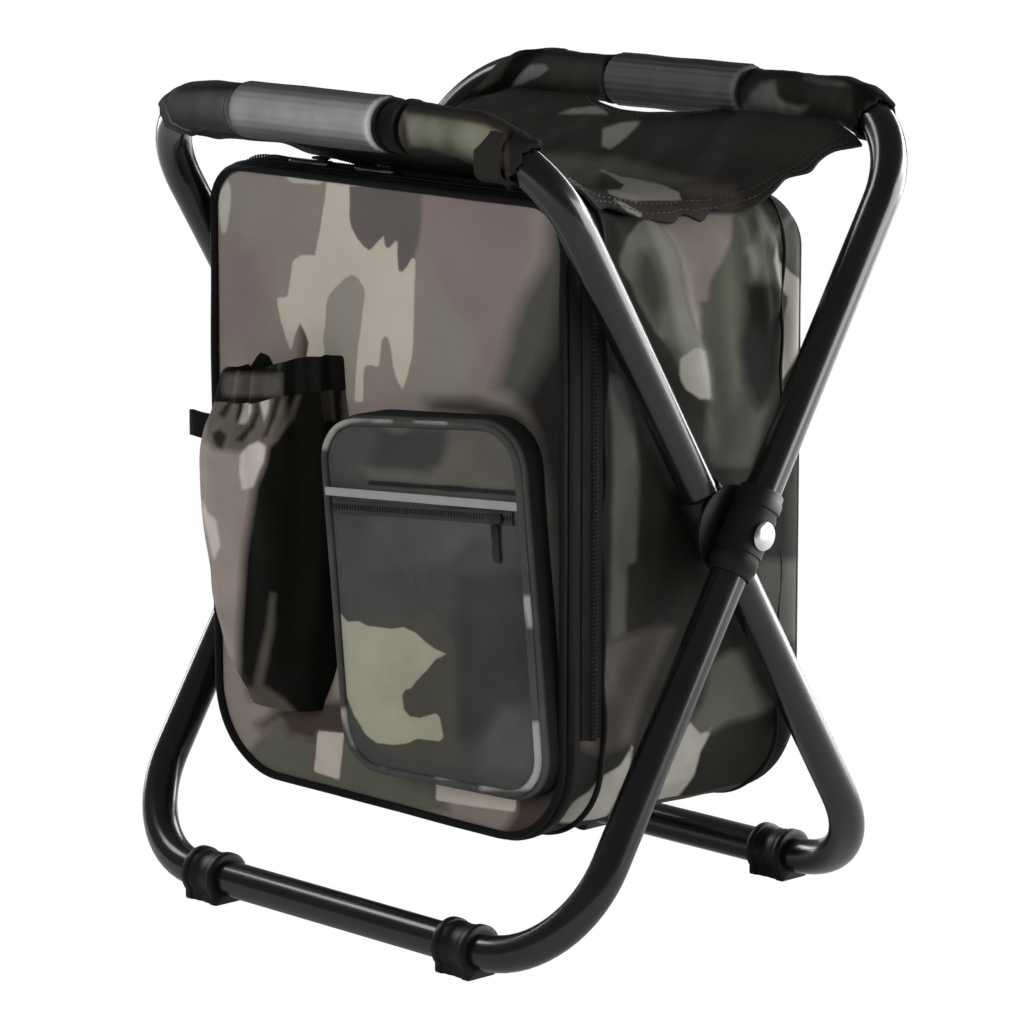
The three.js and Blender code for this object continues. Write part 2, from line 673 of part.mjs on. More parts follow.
function bottlePocket() {
  const inner = bottleRings(BOTTLE_WALL, BOTTLE_WALL, CUT_OVERRUN);
  const above = inner.at(-1).map((point) => point.clone().setZ(BOTTLE_MOUTH + BOTTLE_WALL + CUT_OVERRUN));
  return cut(loft(bottleRings(0, 0, 0)), loft([...inner, above]));
}

// The gathered hem round the bottle pocket's mouth.
function bottleHem() {
  const mouth = BOTTLE_STATIONS.at(-1);
  const middle = BOTTLE_MIDDLE + mouth[3];
  function arch(offset, low, high) {
    const ring = [];
    for (let i = 0; i <= BOTTLE_FACETS; i += 1) {
      const turn = Math.PI + (i * Math.PI) / BOTTLE_FACETS;
      ring.push([(mouth[1] + offset) * Math.cos(turn), (mouth[2] + offset) * Math.sin(turn)]);
    }
    const at = (z) =>
      ring.map(([x, y]) => new THREE.Vector3(x + middle, y + DOOR_FACE - SEAT_GAP, z));
    return loft([at(low), at(high)]);
  }
  const low = BOTTLE_MOUTH + SEAT_GAP;
  const high = low + BOTTLE_HEM_HEIGHT;
  const hollow = arch(-BOTTLE_WALL, low - CUT_OVERRUN, high + CUT_OVERRUN);
  return cut(arch(BOTTLE_HEM_PROUD, low, high), hollow.translate(0, CUT_OVERRUN / 2, 0));
}

// A strap or webbing through a row of points, with its width along X.
function ribbon(points, width, thickness, steps) {
  const curve = new THREE.CatmullRomCurve3(points.map((point) => new THREE.Vector3(...point)));
  const across = new THREE.Vector3(1, 0, 0);
  const rings = [];
  for (let i = 0; i <= steps; i += 1) {
    const centre = curve.getPoint(i / steps);
    const along = curve.getTangent(i / steps);
    const out = new THREE.Vector3().crossVectors(along, across).normalize();
    const [w, t] = [width / 2, thickness / 2];
    const soft = Math.min(t, w) * RIBBON_EDGE;
    const corners = [
      [w, t - soft], [w - soft, t], [soft - w, t], [-w, t - soft],
      [-w, soft - t], [soft - w, -t], [w - soft, -t], [w, soft - t],
    ];
    rings.push(corners.map(([a, b]) => centre.clone().addScaledVector(across, a).addScaledVector(out, b)));
  }
  return loft(rings);
}

// The seat cloth's middle surface, from the rear bar (share 0) to the front bar (share 1).
const SEAT_EDGE_OFFSET = (SLEEVE_RADIUS + CLOTH / 2 + 3 * SEAT_GAP) * Math.SQRT1_2;
const SEAT_REST = BAG_TOP + SEAT_GAP + CLOTH / 2 + SEAT_LIE;
const seatEdge = [HALF_SPREAD - SEAT_EDGE_OFFSET, TOP_BAR_HEIGHT - SEAT_EDGE_OFFSET];
// Places from rear to front with the cloth's height there, as a share of the rise to the bars.
const seatStations = [
  [seatEdge[0], 1],
  [BAG_REAR + 8, 0.72],
  [BAG_REAR - 14, 0.3],
  [BAG_REAR - 44, 0.01],
  [0, 0],
  [BAG_FRONT + TOP_DIP_DEPTH + 8, 0.07],
  [BAG_FRONT + 8, 0.5],
  [-seatEdge[0], 1],
];
const seatProfile = new THREE.CatmullRomCurve3(
  seatStations.map(([y, share]) => {
    return new THREE.Vector3(0, y, THREE.MathUtils.lerp(SEAT_REST, seatEdge[1], share));
  }),
);

function seatHalfWidth(share) {
  const end = share < 0.5 ? SEAT_REAR_HALF_WIDTH : SEAT_FRONT_HALF_WIDTH;
  const nearness = Math.abs(2 * share - 1);
  return THREE.MathUtils.lerp(SEAT_MIDDLE_HALF_WIDTH, end, nearness ** 2);
}

// How far the bar drops and comes in where the cloth's corner lies over its bend.
function cornerDrop(x, halfWidth) {
  const past = Math.max(0, Math.abs(x) + SEAT_CORNER_LEAD - (halfWidth - TOP_BEND_RADIUS));
  return TOP_BEND_RADIUS - Math.sqrt(TOP_BEND_RADIUS ** 2 - past ** 2);
}

function seatPoint(u, share, rise) {
  const point = seatProfile.getPoint(share);
  const rear = share < 0.5;
  const nearness = Math.abs(2 * share - 1);
  point.x = u * seatHalfWidth(share);
  const drop = cornerDrop(point.x, rear ? OUTER_HALF_WIDTH : INNER_HALF_WIDTH) * nearness ** 3;
  point.z -= drop * Math.cos(LEG_ANGLE);
  point.y -= Math.sign(point.y) * drop * Math.sin(LEG_ANGLE);
  const span = Math.sin(Math.PI * nearness) ** 2;
  point.z += SEAT_FOLD_DEPTH * span * Math.cos(SEAT_FOLDS * Math.PI * u);
  point.z += rise;
  return point;
}

function seatCloth() {
  const corners = [];
  const at = (i, j, rise) => seatPoint((2 * i) / SEAT_COLUMNS - 1, j / SEAT_ROWS, rise);
  const quad = (a, b, c, d) => corners.push(a, b, c, a, c, d);
  const half = CLOTH / 2;
  for (let i = 0; i < SEAT_COLUMNS; i += 1) {
    for (let j = 0; j < SEAT_ROWS; j += 1) {
      quad(at(i, j, half), at(i + 1, j, half), at(i + 1, j + 1, half), at(i, j + 1, half));
      quad(at(i, j, -half), at(i, j + 1, -half), at(i + 1, j + 1, -half), at(i + 1, j, -half));
    }
    quad(at(i, 0, -half), at(i + 1, 0, -half), at(i + 1, 0, half), at(i, 0, half));
    const j = SEAT_ROWS;
    quad(at(i, j, half), at(i + 1, j, half), at(i + 1, j, -half), at(i, j, -half));
  }
  for (let j = 0; j < SEAT_ROWS; j += 1) {
    quad(at(0, j, half), at(0, j + 1, half), at(0, j + 1, -half), at(0, j, -half));
    const i = SEAT_COLUMNS;
    quad(at(i, j, -half), at(i, j + 1, -half), at(i, j + 1, half), at(i, j, half));
  }
  const sheet = orient(new THREE.BufferGeometry().setFromPoints(corners));
  function handSlot(side, gripLength, gripMiddle) {
    const slotHeight = 2 * (TOP_BAR_HEIGHT - BAG_TOP);
    const slot = new THREE.CylinderGeometry(1, 1, slotHeight, 28).rotateX(Math.PI / 2);
    slot.scale(gripLength / 2 + HAND_SLOT_MARGIN, HAND_SLOT_DEPTH, 1);
    return slot.translate(gripMiddle, side * HALF_SPREAD, TOP_BAR_HEIGHT);
  }
  return cut(
    sheet,
    handSlot(1, REAR_GRIP_LENGTH, REAR_GRIP_MIDDLE),
    handSlot(-1, FRONT_GRIP_LENGTH + BAND_LENGTH, FRONT_GRIP_MIDDLE + BAND_LENGTH / 2),
  );
}

const stool = new THREE.Group();

// A group that lies in the plane of one hoop, with its origin at the pivots.
function hoopGroup(turn) {
  const group = new THREE.Group();
  group.position.set(0, 0, PIVOT_HEIGHT);
  group.rotation.x = turn;
  stool.add(group);
  return group;
}

// Two feet on a bottom bar, each just inside the start of a bend.
function addFeet(name, halfWidth, y) {
  const x = halfWidth - BOTTOM_BEND_RADIUS - FOOT_TO_BEND - FOOT_LENGTH / 2;
  for (const [side, word] of [[-1, "left"], [1, "right"]]) {
    piece(stool, name + word, foot(), blackPlastic, [side * x, y, BOTTOM_BAR_HEIGHT]);
  }
}

function addOuterFrame() {
  const group = hoopGroup(-LEG_ANGLE);
  piece(group, "outer_frame_upper_tube", hoopHalf(OUTER_HALF_WIDTH, 1), blackEnamel);
  piece(group, "outer_frame_lower_tube", hoopHalf(OUTER_HALF_WIDTH, -1), blackEnamel);
  piece(group, "rear_grip", grip(REAR_GRIP_LENGTH), darkGripFoam, [REAR_GRIP_MIDDLE, 0, HOOP_HALF_HEIGHT]);
  const left = REAR_GRIP_MIDDLE - REAR_GRIP_LENGTH / 2 - SLEEVE_GAP;
  const right = REAR_GRIP_MIDDLE + REAR_GRIP_LENGTH / 2 + SLEEVE_GAP;
  const turn = REAR_SLEEVE_TURN;
  piece(group, "seat_sleeve_rear_left", sleeve(OUTER_HALF_WIDTH, left, turn), darkCamouflage);
  piece(group, "seat_sleeve_rear_right", sleeve(OUTER_HALF_WIDTH, right, turn), darkCamouflage);
  for (const [side, name] of [[-1, "left"], [1, "right"]]) {
    const place = [side * OUTER_HALF_WIDTH, 0, 0];
    const collar = pivotCollar(-side, PIVOT_PIN_RADIUS + PIN_GAP);
    piece(group, "pivot_collar_outer_" + name, collar, blackPlastic, place);
    const pin = side > 0 ? pivotPin() : pivotPin().rotateZ(Math.PI);
    piece(group, "pivot_pin_" + name, pin, steel);
  }
  addFeet("foot_front_", OUTER_HALF_WIDTH, -HALF_SPREAD);
}

function addInnerFrame() {
  const group = hoopGroup(LEG_ANGLE);
  piece(group, "inner_frame_upper_tube", hoopHalf(INNER_HALF_WIDTH, 1), blackEnamel);
  piece(group, "inner_frame_lower_tube", hoopHalf(INNER_HALF_WIDTH, -1), blackEnamel);
  const barTop = HOOP_HALF_HEIGHT;
  piece(group, "front_grip", grip(FRONT_GRIP_LENGTH), greyGripFoam, [FRONT_GRIP_MIDDLE, 0, barTop]);
  const bandMiddle = FRONT_GRIP_END + SLEEVE_GAP + BAND_LENGTH / 2;
  piece(group, "front_grip_band", gripBand(), blackBinding, [bandMiddle, 0, barTop]);
  const left = FRONT_GRIP_MIDDLE - FRONT_GRIP_LENGTH / 2 - SLEEVE_GAP;
  const right = bandMiddle + BAND_LENGTH / 2 + SLEEVE_GAP;
  const turn = FRONT_SLEEVE_TURN;
  piece(group, "seat_sleeve_front_left", sleeve(INNER_HALF_WIDTH, left, turn), darkCamouflage);
  piece(group, "seat_sleeve_front_right", sleeve(INNER_HALF_WIDTH, right, turn), darkCamouflage);
  for (const [side, name] of [[-1, "left"], [1, "right"]]) {
    const collar = pivotCollar(side, PIVOT_TAIL_RADIUS + PIN_GAP);
    const place = [side * INNER_HALF_WIDTH, 0, 0];
    piece(group, "pivot_collar_inner_" + name, collar, blackPlastic, place);
    const between = INNER_HALF_WIDTH + TUBE_RADIUS + LEG_GAP / 2;
    piece(group, "pivot_spacer_" + name, pivotSpacer(), blackPlastic, [side * between, 0, 0]);
  }
  addFeet("foot_rear_", INNER_HALF_WIDTH, HALF_SPREAD);
}

function addSeat() {
  piece(stool, "seat_panel", seatCloth(), darkCamouflage);
  const barFront = -HALF_SPREAD;
  const drop = cornerDrop(HANGING_TAB_PLACE, INNER_HALF_WIDTH);
  const offset = SLEEVE_RADIUS + SEAT_GAP + WEBBING / 2;
  const route = HANGING_TAB_ROUND_BAR.map(([degrees, slack]) => {
    const turn = THREE.MathUtils.degToRad(degrees);
    const y = barFront - (offset + slack) * Math.cos(turn);
    return [HANGING_TAB_PLACE, y, TOP_BAR_HEIGHT - drop - (offset + slack) * Math.sin(turn)];
  });
  const [aboveDoor, belowEdge] = HANGING_TAB_END;
  route.push([HANGING_TAB_PLACE, DOOR_FACE + WEBBING, DOOR_TOP + aboveDoor]);
  route.push([HANGING_TAB_PLACE, BAG_FRONT - WEBBING / 2, DOOR_TOP - belowEdge]);
  const tab = ribbon(route, HANGING_TAB_WIDTH, WEBBING, 12);
  piece(stool, "hanging_tab", tab, brownWebbing);
}

function addBag() {
  piece(stool, "bag_shell", bagLayer(0, SHELL_WALL), paleCamouflage);
  piece(stool, "bag_insulation", bagLayer(SHELL_WALL + SEAT_GAP, FOAM_WALL), whiteFoam);
  const linerInset = SHELL_WALL + FOAM_WALL + 2 * SEAT_GAP;
  piece(stool, "bag_lining", bagLayer(linerInset, LINER_WALL), foilLining);
  piece(stool, "front_zip", zipBand(), blackBinding);
}

function addShoulderStraps() {
  const back = BAG_REAR + SEAT_GAP + STRAP_THICKNESS / 2;
  for (const [side, name] of [[-1, "left"], [1, "right"]]) {
    const [topX, topZ] = STRAP_TOP;
    const [lowX, lowZ] = STRAP_BOTTOM;
    const route = STRAP_ROUTE.map(([share, bulge]) => [
      side * THREE.MathUtils.lerp(topX, lowX, share),
      back + bulge * STRAP_BULGE,
      THREE.MathUtils.lerp(topZ, lowZ, share),
    ]);
    const strap = ribbon(route, STRAP_WIDTH, STRAP_THICKNESS, 14);
    piece(stool, "shoulder_strap_" + name, strap, blackBinding);
    const strapEnd = route.at(-1);
    const plate = new THREE.Shape();
    const [w, h] = [ADJUSTER[0] / 2, ADJUSTER[2] / 2];
    plate.setFromPoints(roundedRectangle(w, -h, h, ADJUSTER_CORNER, ADJUSTER_CORNER, 3));
    for (const rise of [-h / 2, h / 2]) {
      const [sw, sh] = [ADJUSTER_SLOT[0] / 2, ADJUSTER_SLOT[1] / 2];
      const slot = new THREE.Path();
      slot.moveTo(-sw, rise - sh).lineTo(-sw, rise + sh).lineTo(sw, rise + sh).lineTo(sw, rise - sh);
      plate.holes.push(slot);
    }
    const adjuster = new THREE.ExtrudeGeometry(plate, { depth: ADJUSTER[1], bevelEnabled: false });
    adjuster.rotateX(Math.PI / 2);
    const adjusterMiddle = strapEnd[2] - h - BUCKLE_GAP;
    const adjusterPlace = [strapEnd[0], strapEnd[1] + ADJUSTER[1] / 2, adjusterMiddle];
    piece(stool, "strap_adjuster_" + name, adjuster, blackPlastic, adjusterPlace);
    const [anchorX, anchorZ] = LOWER_ANCHOR;
    const low = adjusterMiddle - h - BUCKLE_GAP;
    const webbingBack = BAG_REAR + SEAT_GAP + WEBBING / 2;
    const webbing = ribbon(
      [
        [strapEnd[0], strapEnd[1], low],
        [
          side * THREE.MathUtils.lerp(lowX, anchorX, 0.4),
          webbingBack + WEBBING_SLACK,
          (low + anchorZ + WEBBING_END / 2) / 2,
        ],
        [side * anchorX, webbingBack + SEAT_GAP, anchorZ + WEBBING_END / 2],
        [side * anchorX, webbingBack, anchorZ - WEBBING_END / 2],
      ],
      LOWER_WEBBING_WIDTH,
      WEBBING,
      8,
    );
    piece(stool, "strap_webbing_" + name, webbing, blackBinding);
  }
}

function addDoor() {
  const face = DOOR_FACE;
  const foamBack = DOOR_BACK - DOOR_LINER - SEAT_GAP;
  const clothBack = foamBack - DOOR_FOAM - SEAT_GAP;
  piece(stool, "front_panel", doorLayer(clothBack, DOOR_CLOTH, 0), paleCamouflage);
  piece(stool, "front_panel_insulation", doorLayer(foamBack, DOOR_FOAM, 2), whiteFoam);
  piece(stool, "front_panel_lining", doorLayer(DOOR_BACK, DOOR_LINER, 2), foilLining);
  const pipingDepth = face - PIPING_RADIUS - SEAT_GAP;
  piece(stool, "front_panel_piping", piping(doorOutline(PIPING_RADIUS), pipingDepth), blackBinding);
  const tabMiddle = -BAG_HALF_WIDTH - 2 * SEAT_GAP - SIDE_TAB[0] / 2;
  piece(stool, "side_tab", box(SIDE_TAB), blackBinding, [tabMiddle, pipingDepth, SIDE_TAB_HEIGHT]);
  piece(stool, "bottle_pocket", bottlePocket(), paleCamouflage);
  piece(stool, "bottle_pocket_hem", bottleHem(), blackBinding);
}

function addZipSliders() {
  const top = DOOR_TOP + ZIP_THICKNESS + 2 * SEAT_GAP;
  const y = BAG_FRONT + SEAT_GAP + ZIP_WIDTH / 2;
  ZIP_SLIDERS.forEach((x, i) => {
    const name = ["left", "right"][i];
    piece(stool, "zip_slider_" + name, slider(SLIDER), steel, [x, y, top]);
    const pull = box(PULL);
    const pullPlace = [x, y - SLIDER[1] / 2 - PULL[1] / 2 - SEAT_GAP, top + PULL[2] / 2 + PULL_LIFT];
    piece(stool, "zip_pull_" + name, pull, steel, pullPlace);
  });
}

function addFrontPocket() {
  const pocket = new THREE.Group();
  pocket.position.set(POCKET_MIDDLE[0], DOOR_FACE - SEAT_GAP, POCKET_MIDDLE[1]);
  pocket.rotation.y = -POCKET_LEAN;
  stool.add(pocket);
  piece(pocket, "front_pocket", frontPocket(), darkCamouflage);
  const face = new THREE.Group();
  face.position.y = -(POCKET_LEFT_DEPTH + POCKET_RIGHT_DEPTH) / 2;
  face.rotation.z = Math.atan2(POCKET_LEFT_DEPTH - POCKET_RIGHT_DEPTH, 2 * POCKET_HALF_WIDTH);
  pocket.add(face);
  const [inset, cordRadius] = POCKET_CORD;
  const edge = roundedRectangle(
    POCKET_HALF_WIDTH - inset,
    inset - POCKET_HALF_HEIGHT,
    POCKET_HALF_HEIGHT - inset,
    POCKET_CORNER - inset,
    POCKET_CORNER - inset,
  );
  piece(face, "front_pocket_piping", piping(edge, -cordRadius - SEAT_GAP, cordRadius), blackBinding);
  const zipDepth = -SEAT_GAP - POCKET_ZIP[1] / 2;
  piece(face, "front_pocket_zip", box(POCKET_ZIP), blackBinding, [0, zipDepth, POCKET_ZIP_RISE]);
  const stripRise = POCKET_ZIP_RISE + POCKET_ZIP[2] / 2 + REFLECTIVE_STRIP[2] / 2 + SEAT_GAP;
  const stripDepth = -SEAT_GAP - REFLECTIVE_STRIP[1] / 2;
  piece(face, "reflective_strip", box(REFLECTIVE_STRIP), reflectiveTape, [0, stripDepth, stripRise]);
  const sliderX = POCKET_ZIP[0] / 2 - POCKET_SLIDER[0];
  const sliderDepth = -2 * SEAT_GAP - POCKET_ZIP[1] - POCKET_SLIDER[1] / 2;
  piece(face, "front_pocket_zip_slider", box(POCKET_SLIDER), blackPlastic, [
    sliderX, sliderDepth, POCKET_ZIP_RISE,
  ]);
  const pullDrop = POCKET_ZIP_RISE - POCKET_SLIDER[2] / 2 - POCKET_PULL[2] / 2 - SEAT_GAP;
  piece(face, "front_pocket_zip_pull", box(POCKET_PULL), blackPlastic, [sliderX, sliderDepth, pullDrop]);
}

addOuterFrame();
addInnerFrame();
addSeat();
addBag();
addShoulderStraps();
addDoor();
addZipSliders();
addFrontPocket();

export default stool;
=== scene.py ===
# %% [markdown]
# # A folding cooler stool
# The real object is two hoops of bent steel tube that cross at rivets, a cloth seat sewn round their
# top bars, and an insulated bag that hangs inside them. The CAD model has the sizes, the solids and
# the joints. This lesson gives it its looks. It could paint the CAD meshes as they are, but they are
# coarse and stiff, so each cloth and tube is made again here, finer, in the same place.

# %% The fixed frame and its size
import math
import bpy
import numpy as np
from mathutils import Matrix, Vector


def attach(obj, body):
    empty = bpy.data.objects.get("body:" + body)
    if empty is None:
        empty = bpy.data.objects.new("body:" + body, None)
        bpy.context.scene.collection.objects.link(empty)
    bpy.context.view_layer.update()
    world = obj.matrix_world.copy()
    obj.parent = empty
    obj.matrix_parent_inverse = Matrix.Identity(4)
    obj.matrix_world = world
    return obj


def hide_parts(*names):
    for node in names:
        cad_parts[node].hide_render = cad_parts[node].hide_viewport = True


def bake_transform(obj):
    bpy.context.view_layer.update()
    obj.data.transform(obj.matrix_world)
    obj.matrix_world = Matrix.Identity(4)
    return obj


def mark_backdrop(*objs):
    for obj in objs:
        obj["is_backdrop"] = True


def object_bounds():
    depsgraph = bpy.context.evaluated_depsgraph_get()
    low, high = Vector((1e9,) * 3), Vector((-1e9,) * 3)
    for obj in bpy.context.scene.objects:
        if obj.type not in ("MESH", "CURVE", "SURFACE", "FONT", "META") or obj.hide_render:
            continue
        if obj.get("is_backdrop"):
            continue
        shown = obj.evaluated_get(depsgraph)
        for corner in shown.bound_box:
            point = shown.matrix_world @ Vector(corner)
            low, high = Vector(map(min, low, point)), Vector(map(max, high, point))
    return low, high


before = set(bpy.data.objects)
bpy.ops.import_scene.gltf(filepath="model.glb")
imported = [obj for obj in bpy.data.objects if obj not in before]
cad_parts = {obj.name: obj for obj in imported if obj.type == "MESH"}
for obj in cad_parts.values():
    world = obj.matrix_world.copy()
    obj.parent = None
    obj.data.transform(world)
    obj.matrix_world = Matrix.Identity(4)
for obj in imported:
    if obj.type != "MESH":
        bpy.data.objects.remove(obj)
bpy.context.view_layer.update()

# %% [markdown]
# ## Camera, stage and light
# A product photo is taken from one fixed place with a long lens. The numbers below were measured
# from the object's own edges. The stage is a pale floor that the camera sees as plain white. Tall
# lamps stand round the stool at its own height, as softboxes do: in front, on the right, on the
# left and behind. Light from the side draws long pale lines down the black tubes and leaves the
# seat, which faces up, dark. One more lamp lights the floor behind, which the leaning legs mirror.
# The front and the right lamp are kept out of mirrors, so that the tubes stay black between lines.
# The band lamp shows in mirrors only, and draws the soft band on the right flank of every tube.

# %% The camera
VIEW_AZIMUTH = math.radians(46.2)
VIEW_ELEVATION = math.radians(10.68)
VIEW_DISTANCE = 2.3471
VIEW_TARGET = Vector((-0.0004, 0.0, 0.1948))
LENS_MM = 165.58
SENSOR_MM = 36.0


def direction_of(azimuth, elevation):
    """Unit vector from the object towards a viewer; azimuth 0 stands in front of it, at -Y."""
    return Vector((
        math.sin(azimuth) * math.cos(elevation),
        -math.cos(azimuth) * math.cos(elevation),
        math.sin(elevation),
    ))


camera_data = bpy.data.cameras.new("camera")
camera_data.lens = LENS_MM
camera_data.sensor_width = SENSOR_MM
camera_data.clip_end = 30.0
camera = bpy.data.objects.new("camera", camera_data)
bpy.context.collection.objects.link(camera)
to_camera = direction_of(VIEW_AZIMUTH, VIEW_ELEVATION)
camera.location = VIEW_TARGET + to_camera * VIEW_DISTANCE
camera.rotation_mode = "QUATERNION"
camera.rotation_quaternion = to_camera.to_track_quat("Z", "Y")
bpy.context.scene.camera = camera
bpy.context.scene.view_settings.view_transform = "Standard"
print("camera at", [round(value, 3) for value in camera.location])


# %% Small helpers for shader nodes
def add_node(tree, kind, inputs=None, **settings):
    """A new node; inputs maps a socket's name or number to a value or to another node's output."""
    made = tree.nodes.new(kind)
    for name, value in settings.items():
        setattr(made, name, value)
    for key, value in (inputs or {}).items():
        if isinstance(value, bpy.types.NodeSocket):
            tree.links.new(value, made.inputs[key])
        else:
            made.inputs[key].default_value = value
    return made


def calculate(tree, operation, first, second=0.0, third=0.0):
    """The output of one Math node."""
    values = {0: first, 1: second, 2: third}
    return add_node(tree, "ShaderNodeMath", values, operation=operation).outputs[0]


def mixed(tree, share, first, second, blend="MIX"):
    """The output of one colour Mix node."""
    made = add_node(tree, "ShaderNodeMix", data_type="RGBA", blend_type=blend)
    for socket, value in (("Factor_Float", share), ("A_Color", first), ("B_Color", second)):
        target = next(s for s in made.inputs if s.identifier == socket)
        if isinstance(value, bpy.types.NodeSocket):
            tree.links.new(value, target)
        else:
            target.default_value = value
    return next(s for s in made.outputs if s.identifier == "Result_Color")


def ranged(tree, value, low, high, to_low=0.0, to_high=1.0, smooth=False):
    """The output of one Map Range node."""
    kind = "SMOOTHSTEP" if smooth else "LINEAR"
    values = {"Value": value, "From Min": low, "From Max": high, "To Min": to_low, "To Max": to_high}
    made = add_node(tree, "ShaderNodeMapRange", values, interpolation_type=kind)
    return made.outputs["Result"]


def colour(red, green, blue):
    """A linear colour with full cover."""
    return (red, green, blue, 1.0)


# %% The floor, the white behind it and the lamps
FLOOR_HALF = 6.0
PALE = colour(0.7, 0.7, 0.7)
WHITE = colour(1.0, 1.0, 1.0)


def white_to_camera(tree, surface, output):
    """The camera, also through glass, sees plain white; all other light sees the given surface."""
    path = add_node(tree, "ShaderNodeLightPath")
    bent = calculate(tree, "MAXIMUM", path.outputs["Is Camera Ray"], path.outputs["Is Transmission Ray"])
    kind = "ShaderNodeBackground" if surface.type == "BACKGROUND" else "ShaderNodeEmission"
    white = add_node(tree, kind, {"Color": WHITE, "Strength": 1.0})
    shader = add_node(tree, "ShaderNodeMixShader", {0: bent, 1: surface.outputs[0], 2: white.outputs[0]})
    tree.links.new(shader.outputs[0], output.inputs["Surface"])


floor_mesh = bpy.data.meshes.new("floor")
corners = [(x * FLOOR_HALF, y * FLOOR_HALF, 0.0) for x, y in ((-1, -1), (1, -1), (1, 1), (-1, 1))]
floor_mesh.from_pydata(corners, [], [(0, 1, 2, 3)])
floor = bpy.data.objects.new("floor", floor_mesh)
bpy.context.collection.objects.link(floor)
floor_finish = bpy.data.materials.new("floor")
floor_finish.use_nodes = True
floor_tree = floor_finish.node_tree
floor_tree.nodes.clear()
floor_plain = add_node(floor_tree, "ShaderNodeBsdfDiffuse", {"Color": PALE})
white_to_camera(floor_tree, floor_plain, add_node(floor_tree, "ShaderNodeOutputMaterial"))
floor_mesh.materials.append(floor_finish)

ROOM_LIGHT = 0.12
world = bpy.data.worlds.new("studio")
bpy.context.scene.world = world
world.use_nodes = True
world_tree = world.node_tree
world_tree.nodes.clear()
room = add_node(world_tree, "ShaderNodeBackground", {"Color": WHITE, "Strength": ROOM_LIGHT})
white_to_camera(world_tree, room, add_node(world_tree, "ShaderNodeOutputWorld"))


def lamp(name, azimuth, elevation, distance, size, power, aim=VIEW_TARGET, mirrored=True, lights=True):
    """A rectangle of light that faces an aim, and shows in mirrors, lights matt pieces, or both."""
    data = bpy.data.lights.new(name, "AREA")
    data.shape = "RECTANGLE"
    data.size, data.size_y = size
    data.energy = power
    made = bpy.data.objects.new(name, data)
    bpy.context.collection.objects.link(made)
    away = direction_of(math.radians(azimuth), math.radians(elevation))
    made.location = aim + away * distance
    made.rotation_mode = "QUATERNION"
    made.rotation_quaternion = away.to_track_quat("Z", "Y")
    made.visible_glossy = mirrored
    made.visible_diffuse = lights
    return made


lamps = [
    lamp("front_lamp", 6.0, 17.0, 2.2, (1.2, 1.0), 33.0, mirrored=False),
    lamp("side_lamp", 94.0, 9.0, 2.2, (0.7, 1.3), 19.0, mirrored=False),
    lamp("rim_lamp", 170.0, 2.0, 2.4, (1.2, 1.8), 64.0),
    lamp("band_lamp", 132.0, 4.0, 2.4, (1.9, 1.8), 75.0, lights=False),
    lamp("left_lamp", -92.0, 12.0, 2.2, (0.5, 1.3), 14.0),
    lamp("high_left_lamp", -67.0, 42.0, 2.2, (0.7, 0.5), 7.0),
    lamp("floor_lamp", 0.0, 89.0, 0.7, (1.8, 1.2), 40.0, Vector((0.1, 1.5, 0.0))),
]
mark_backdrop(floor, *lamps)
print("lamps:", [made.name for made in lamps])

# %% [markdown]
# ## Helpers for shapes
# Almost every piece of this stool is a skin carried along a line: tube, sleeve, piping, webbing,
# bag. So one helper carries a section along a path and one joins the rings into a closed mesh. It
# could be done with curves and modifiers, but plain points are easier to bend, fold and measure.
# Folds and creases are lines drawn on the cloth, and the skin is pushed out or in near them.
# The patches of the print, and those of painted shade and painted highlights, are outlines drawn too,
# as the camera sees them. No picture is read: an outline is a short list of x, y, x, y and so on.

# %% Rings, paths and meshes
MM = 0.001
SHARP_ANGLE = math.radians(48.0)


def circle(sides, radius=1.0):
    """Points of a circle as (across, up)."""
    turn = np.arange(sides) * (2 * np.pi / sides)
    return np.stack([np.cos(turn), np.sin(turn)], 1) * radius


def points_at(x, y, z):
    """Points from three coordinates, each an array or one number for all of them."""
    return np.stack(np.broadcast_arrays(x, y, z), -1).astype(float)


def resampled(path, count, closed=False):
    """The same path with a given number of evenly spaced points."""
    path = np.asarray(path, float)
    walked = np.concatenate([path, path[:1]]) if closed else path
    steps = np.linalg.norm(np.diff(walked, axis=0), axis=1)
    length = np.concatenate([[0.0], np.cumsum(steps)])
    wanted = np.linspace(0.0, length[-1], count + 1 if closed else count)
    points = np.stack([np.interp(wanted, length, walked[:, k]) for k in range(path.shape[1])], 1)
    return points[:-1] if closed else points


def curve_through(knots, count):
    """A smooth path through a few knots, as a Catmull-Rom curve with even steps."""
    knots = np.asarray(knots, float)
    padded = np.concatenate([[2 * knots[0] - knots[1]], knots, [2 * knots[-1] - knots[-2]]])
    t = np.linspace(0.0, 1.0, 24)[:, None]
    runs = []
    for a, b, c, d in zip(padded[:-3], padded[1:-2], padded[2:-1], padded[3:]):
        squared, cubed = 2 * a - 5 * b + 4 * c - d, 3 * b - a - 3 * c + d
        runs.append(0.5 * (2 * b + (c - a) * t + squared * t**2 + cubed * t**3))
    return resampled(np.concatenate(runs), count)


def rounded_loop(half_width, low, high, low_radius, high_radius, bend_steps, count):
    """A rounded rectangle as (across, up), anticlockwise, from the middle of its lower side."""
    corners = [
        (half_width - low_radius, low + low_radius, low_radius, -90.0),
        (half_width - high_radius, high - high_radius, high_radius, 0.0),
        (high_radius - half_width, high - high_radius, high_radius, 90.0),
        (low_radius - half_width, low + low_radius, low_radius, 180.0),
    ]
    points = [(0.0, low)]
    for x, z, radius, start in corners:
        for angle in np.radians(np.linspace(start, start + 90.0, bend_steps)):
            points.append((x + radius * math.cos(angle), z + radius * math.sin(angle)))
    return resampled(points, count, closed=True) if count else np.array(points)


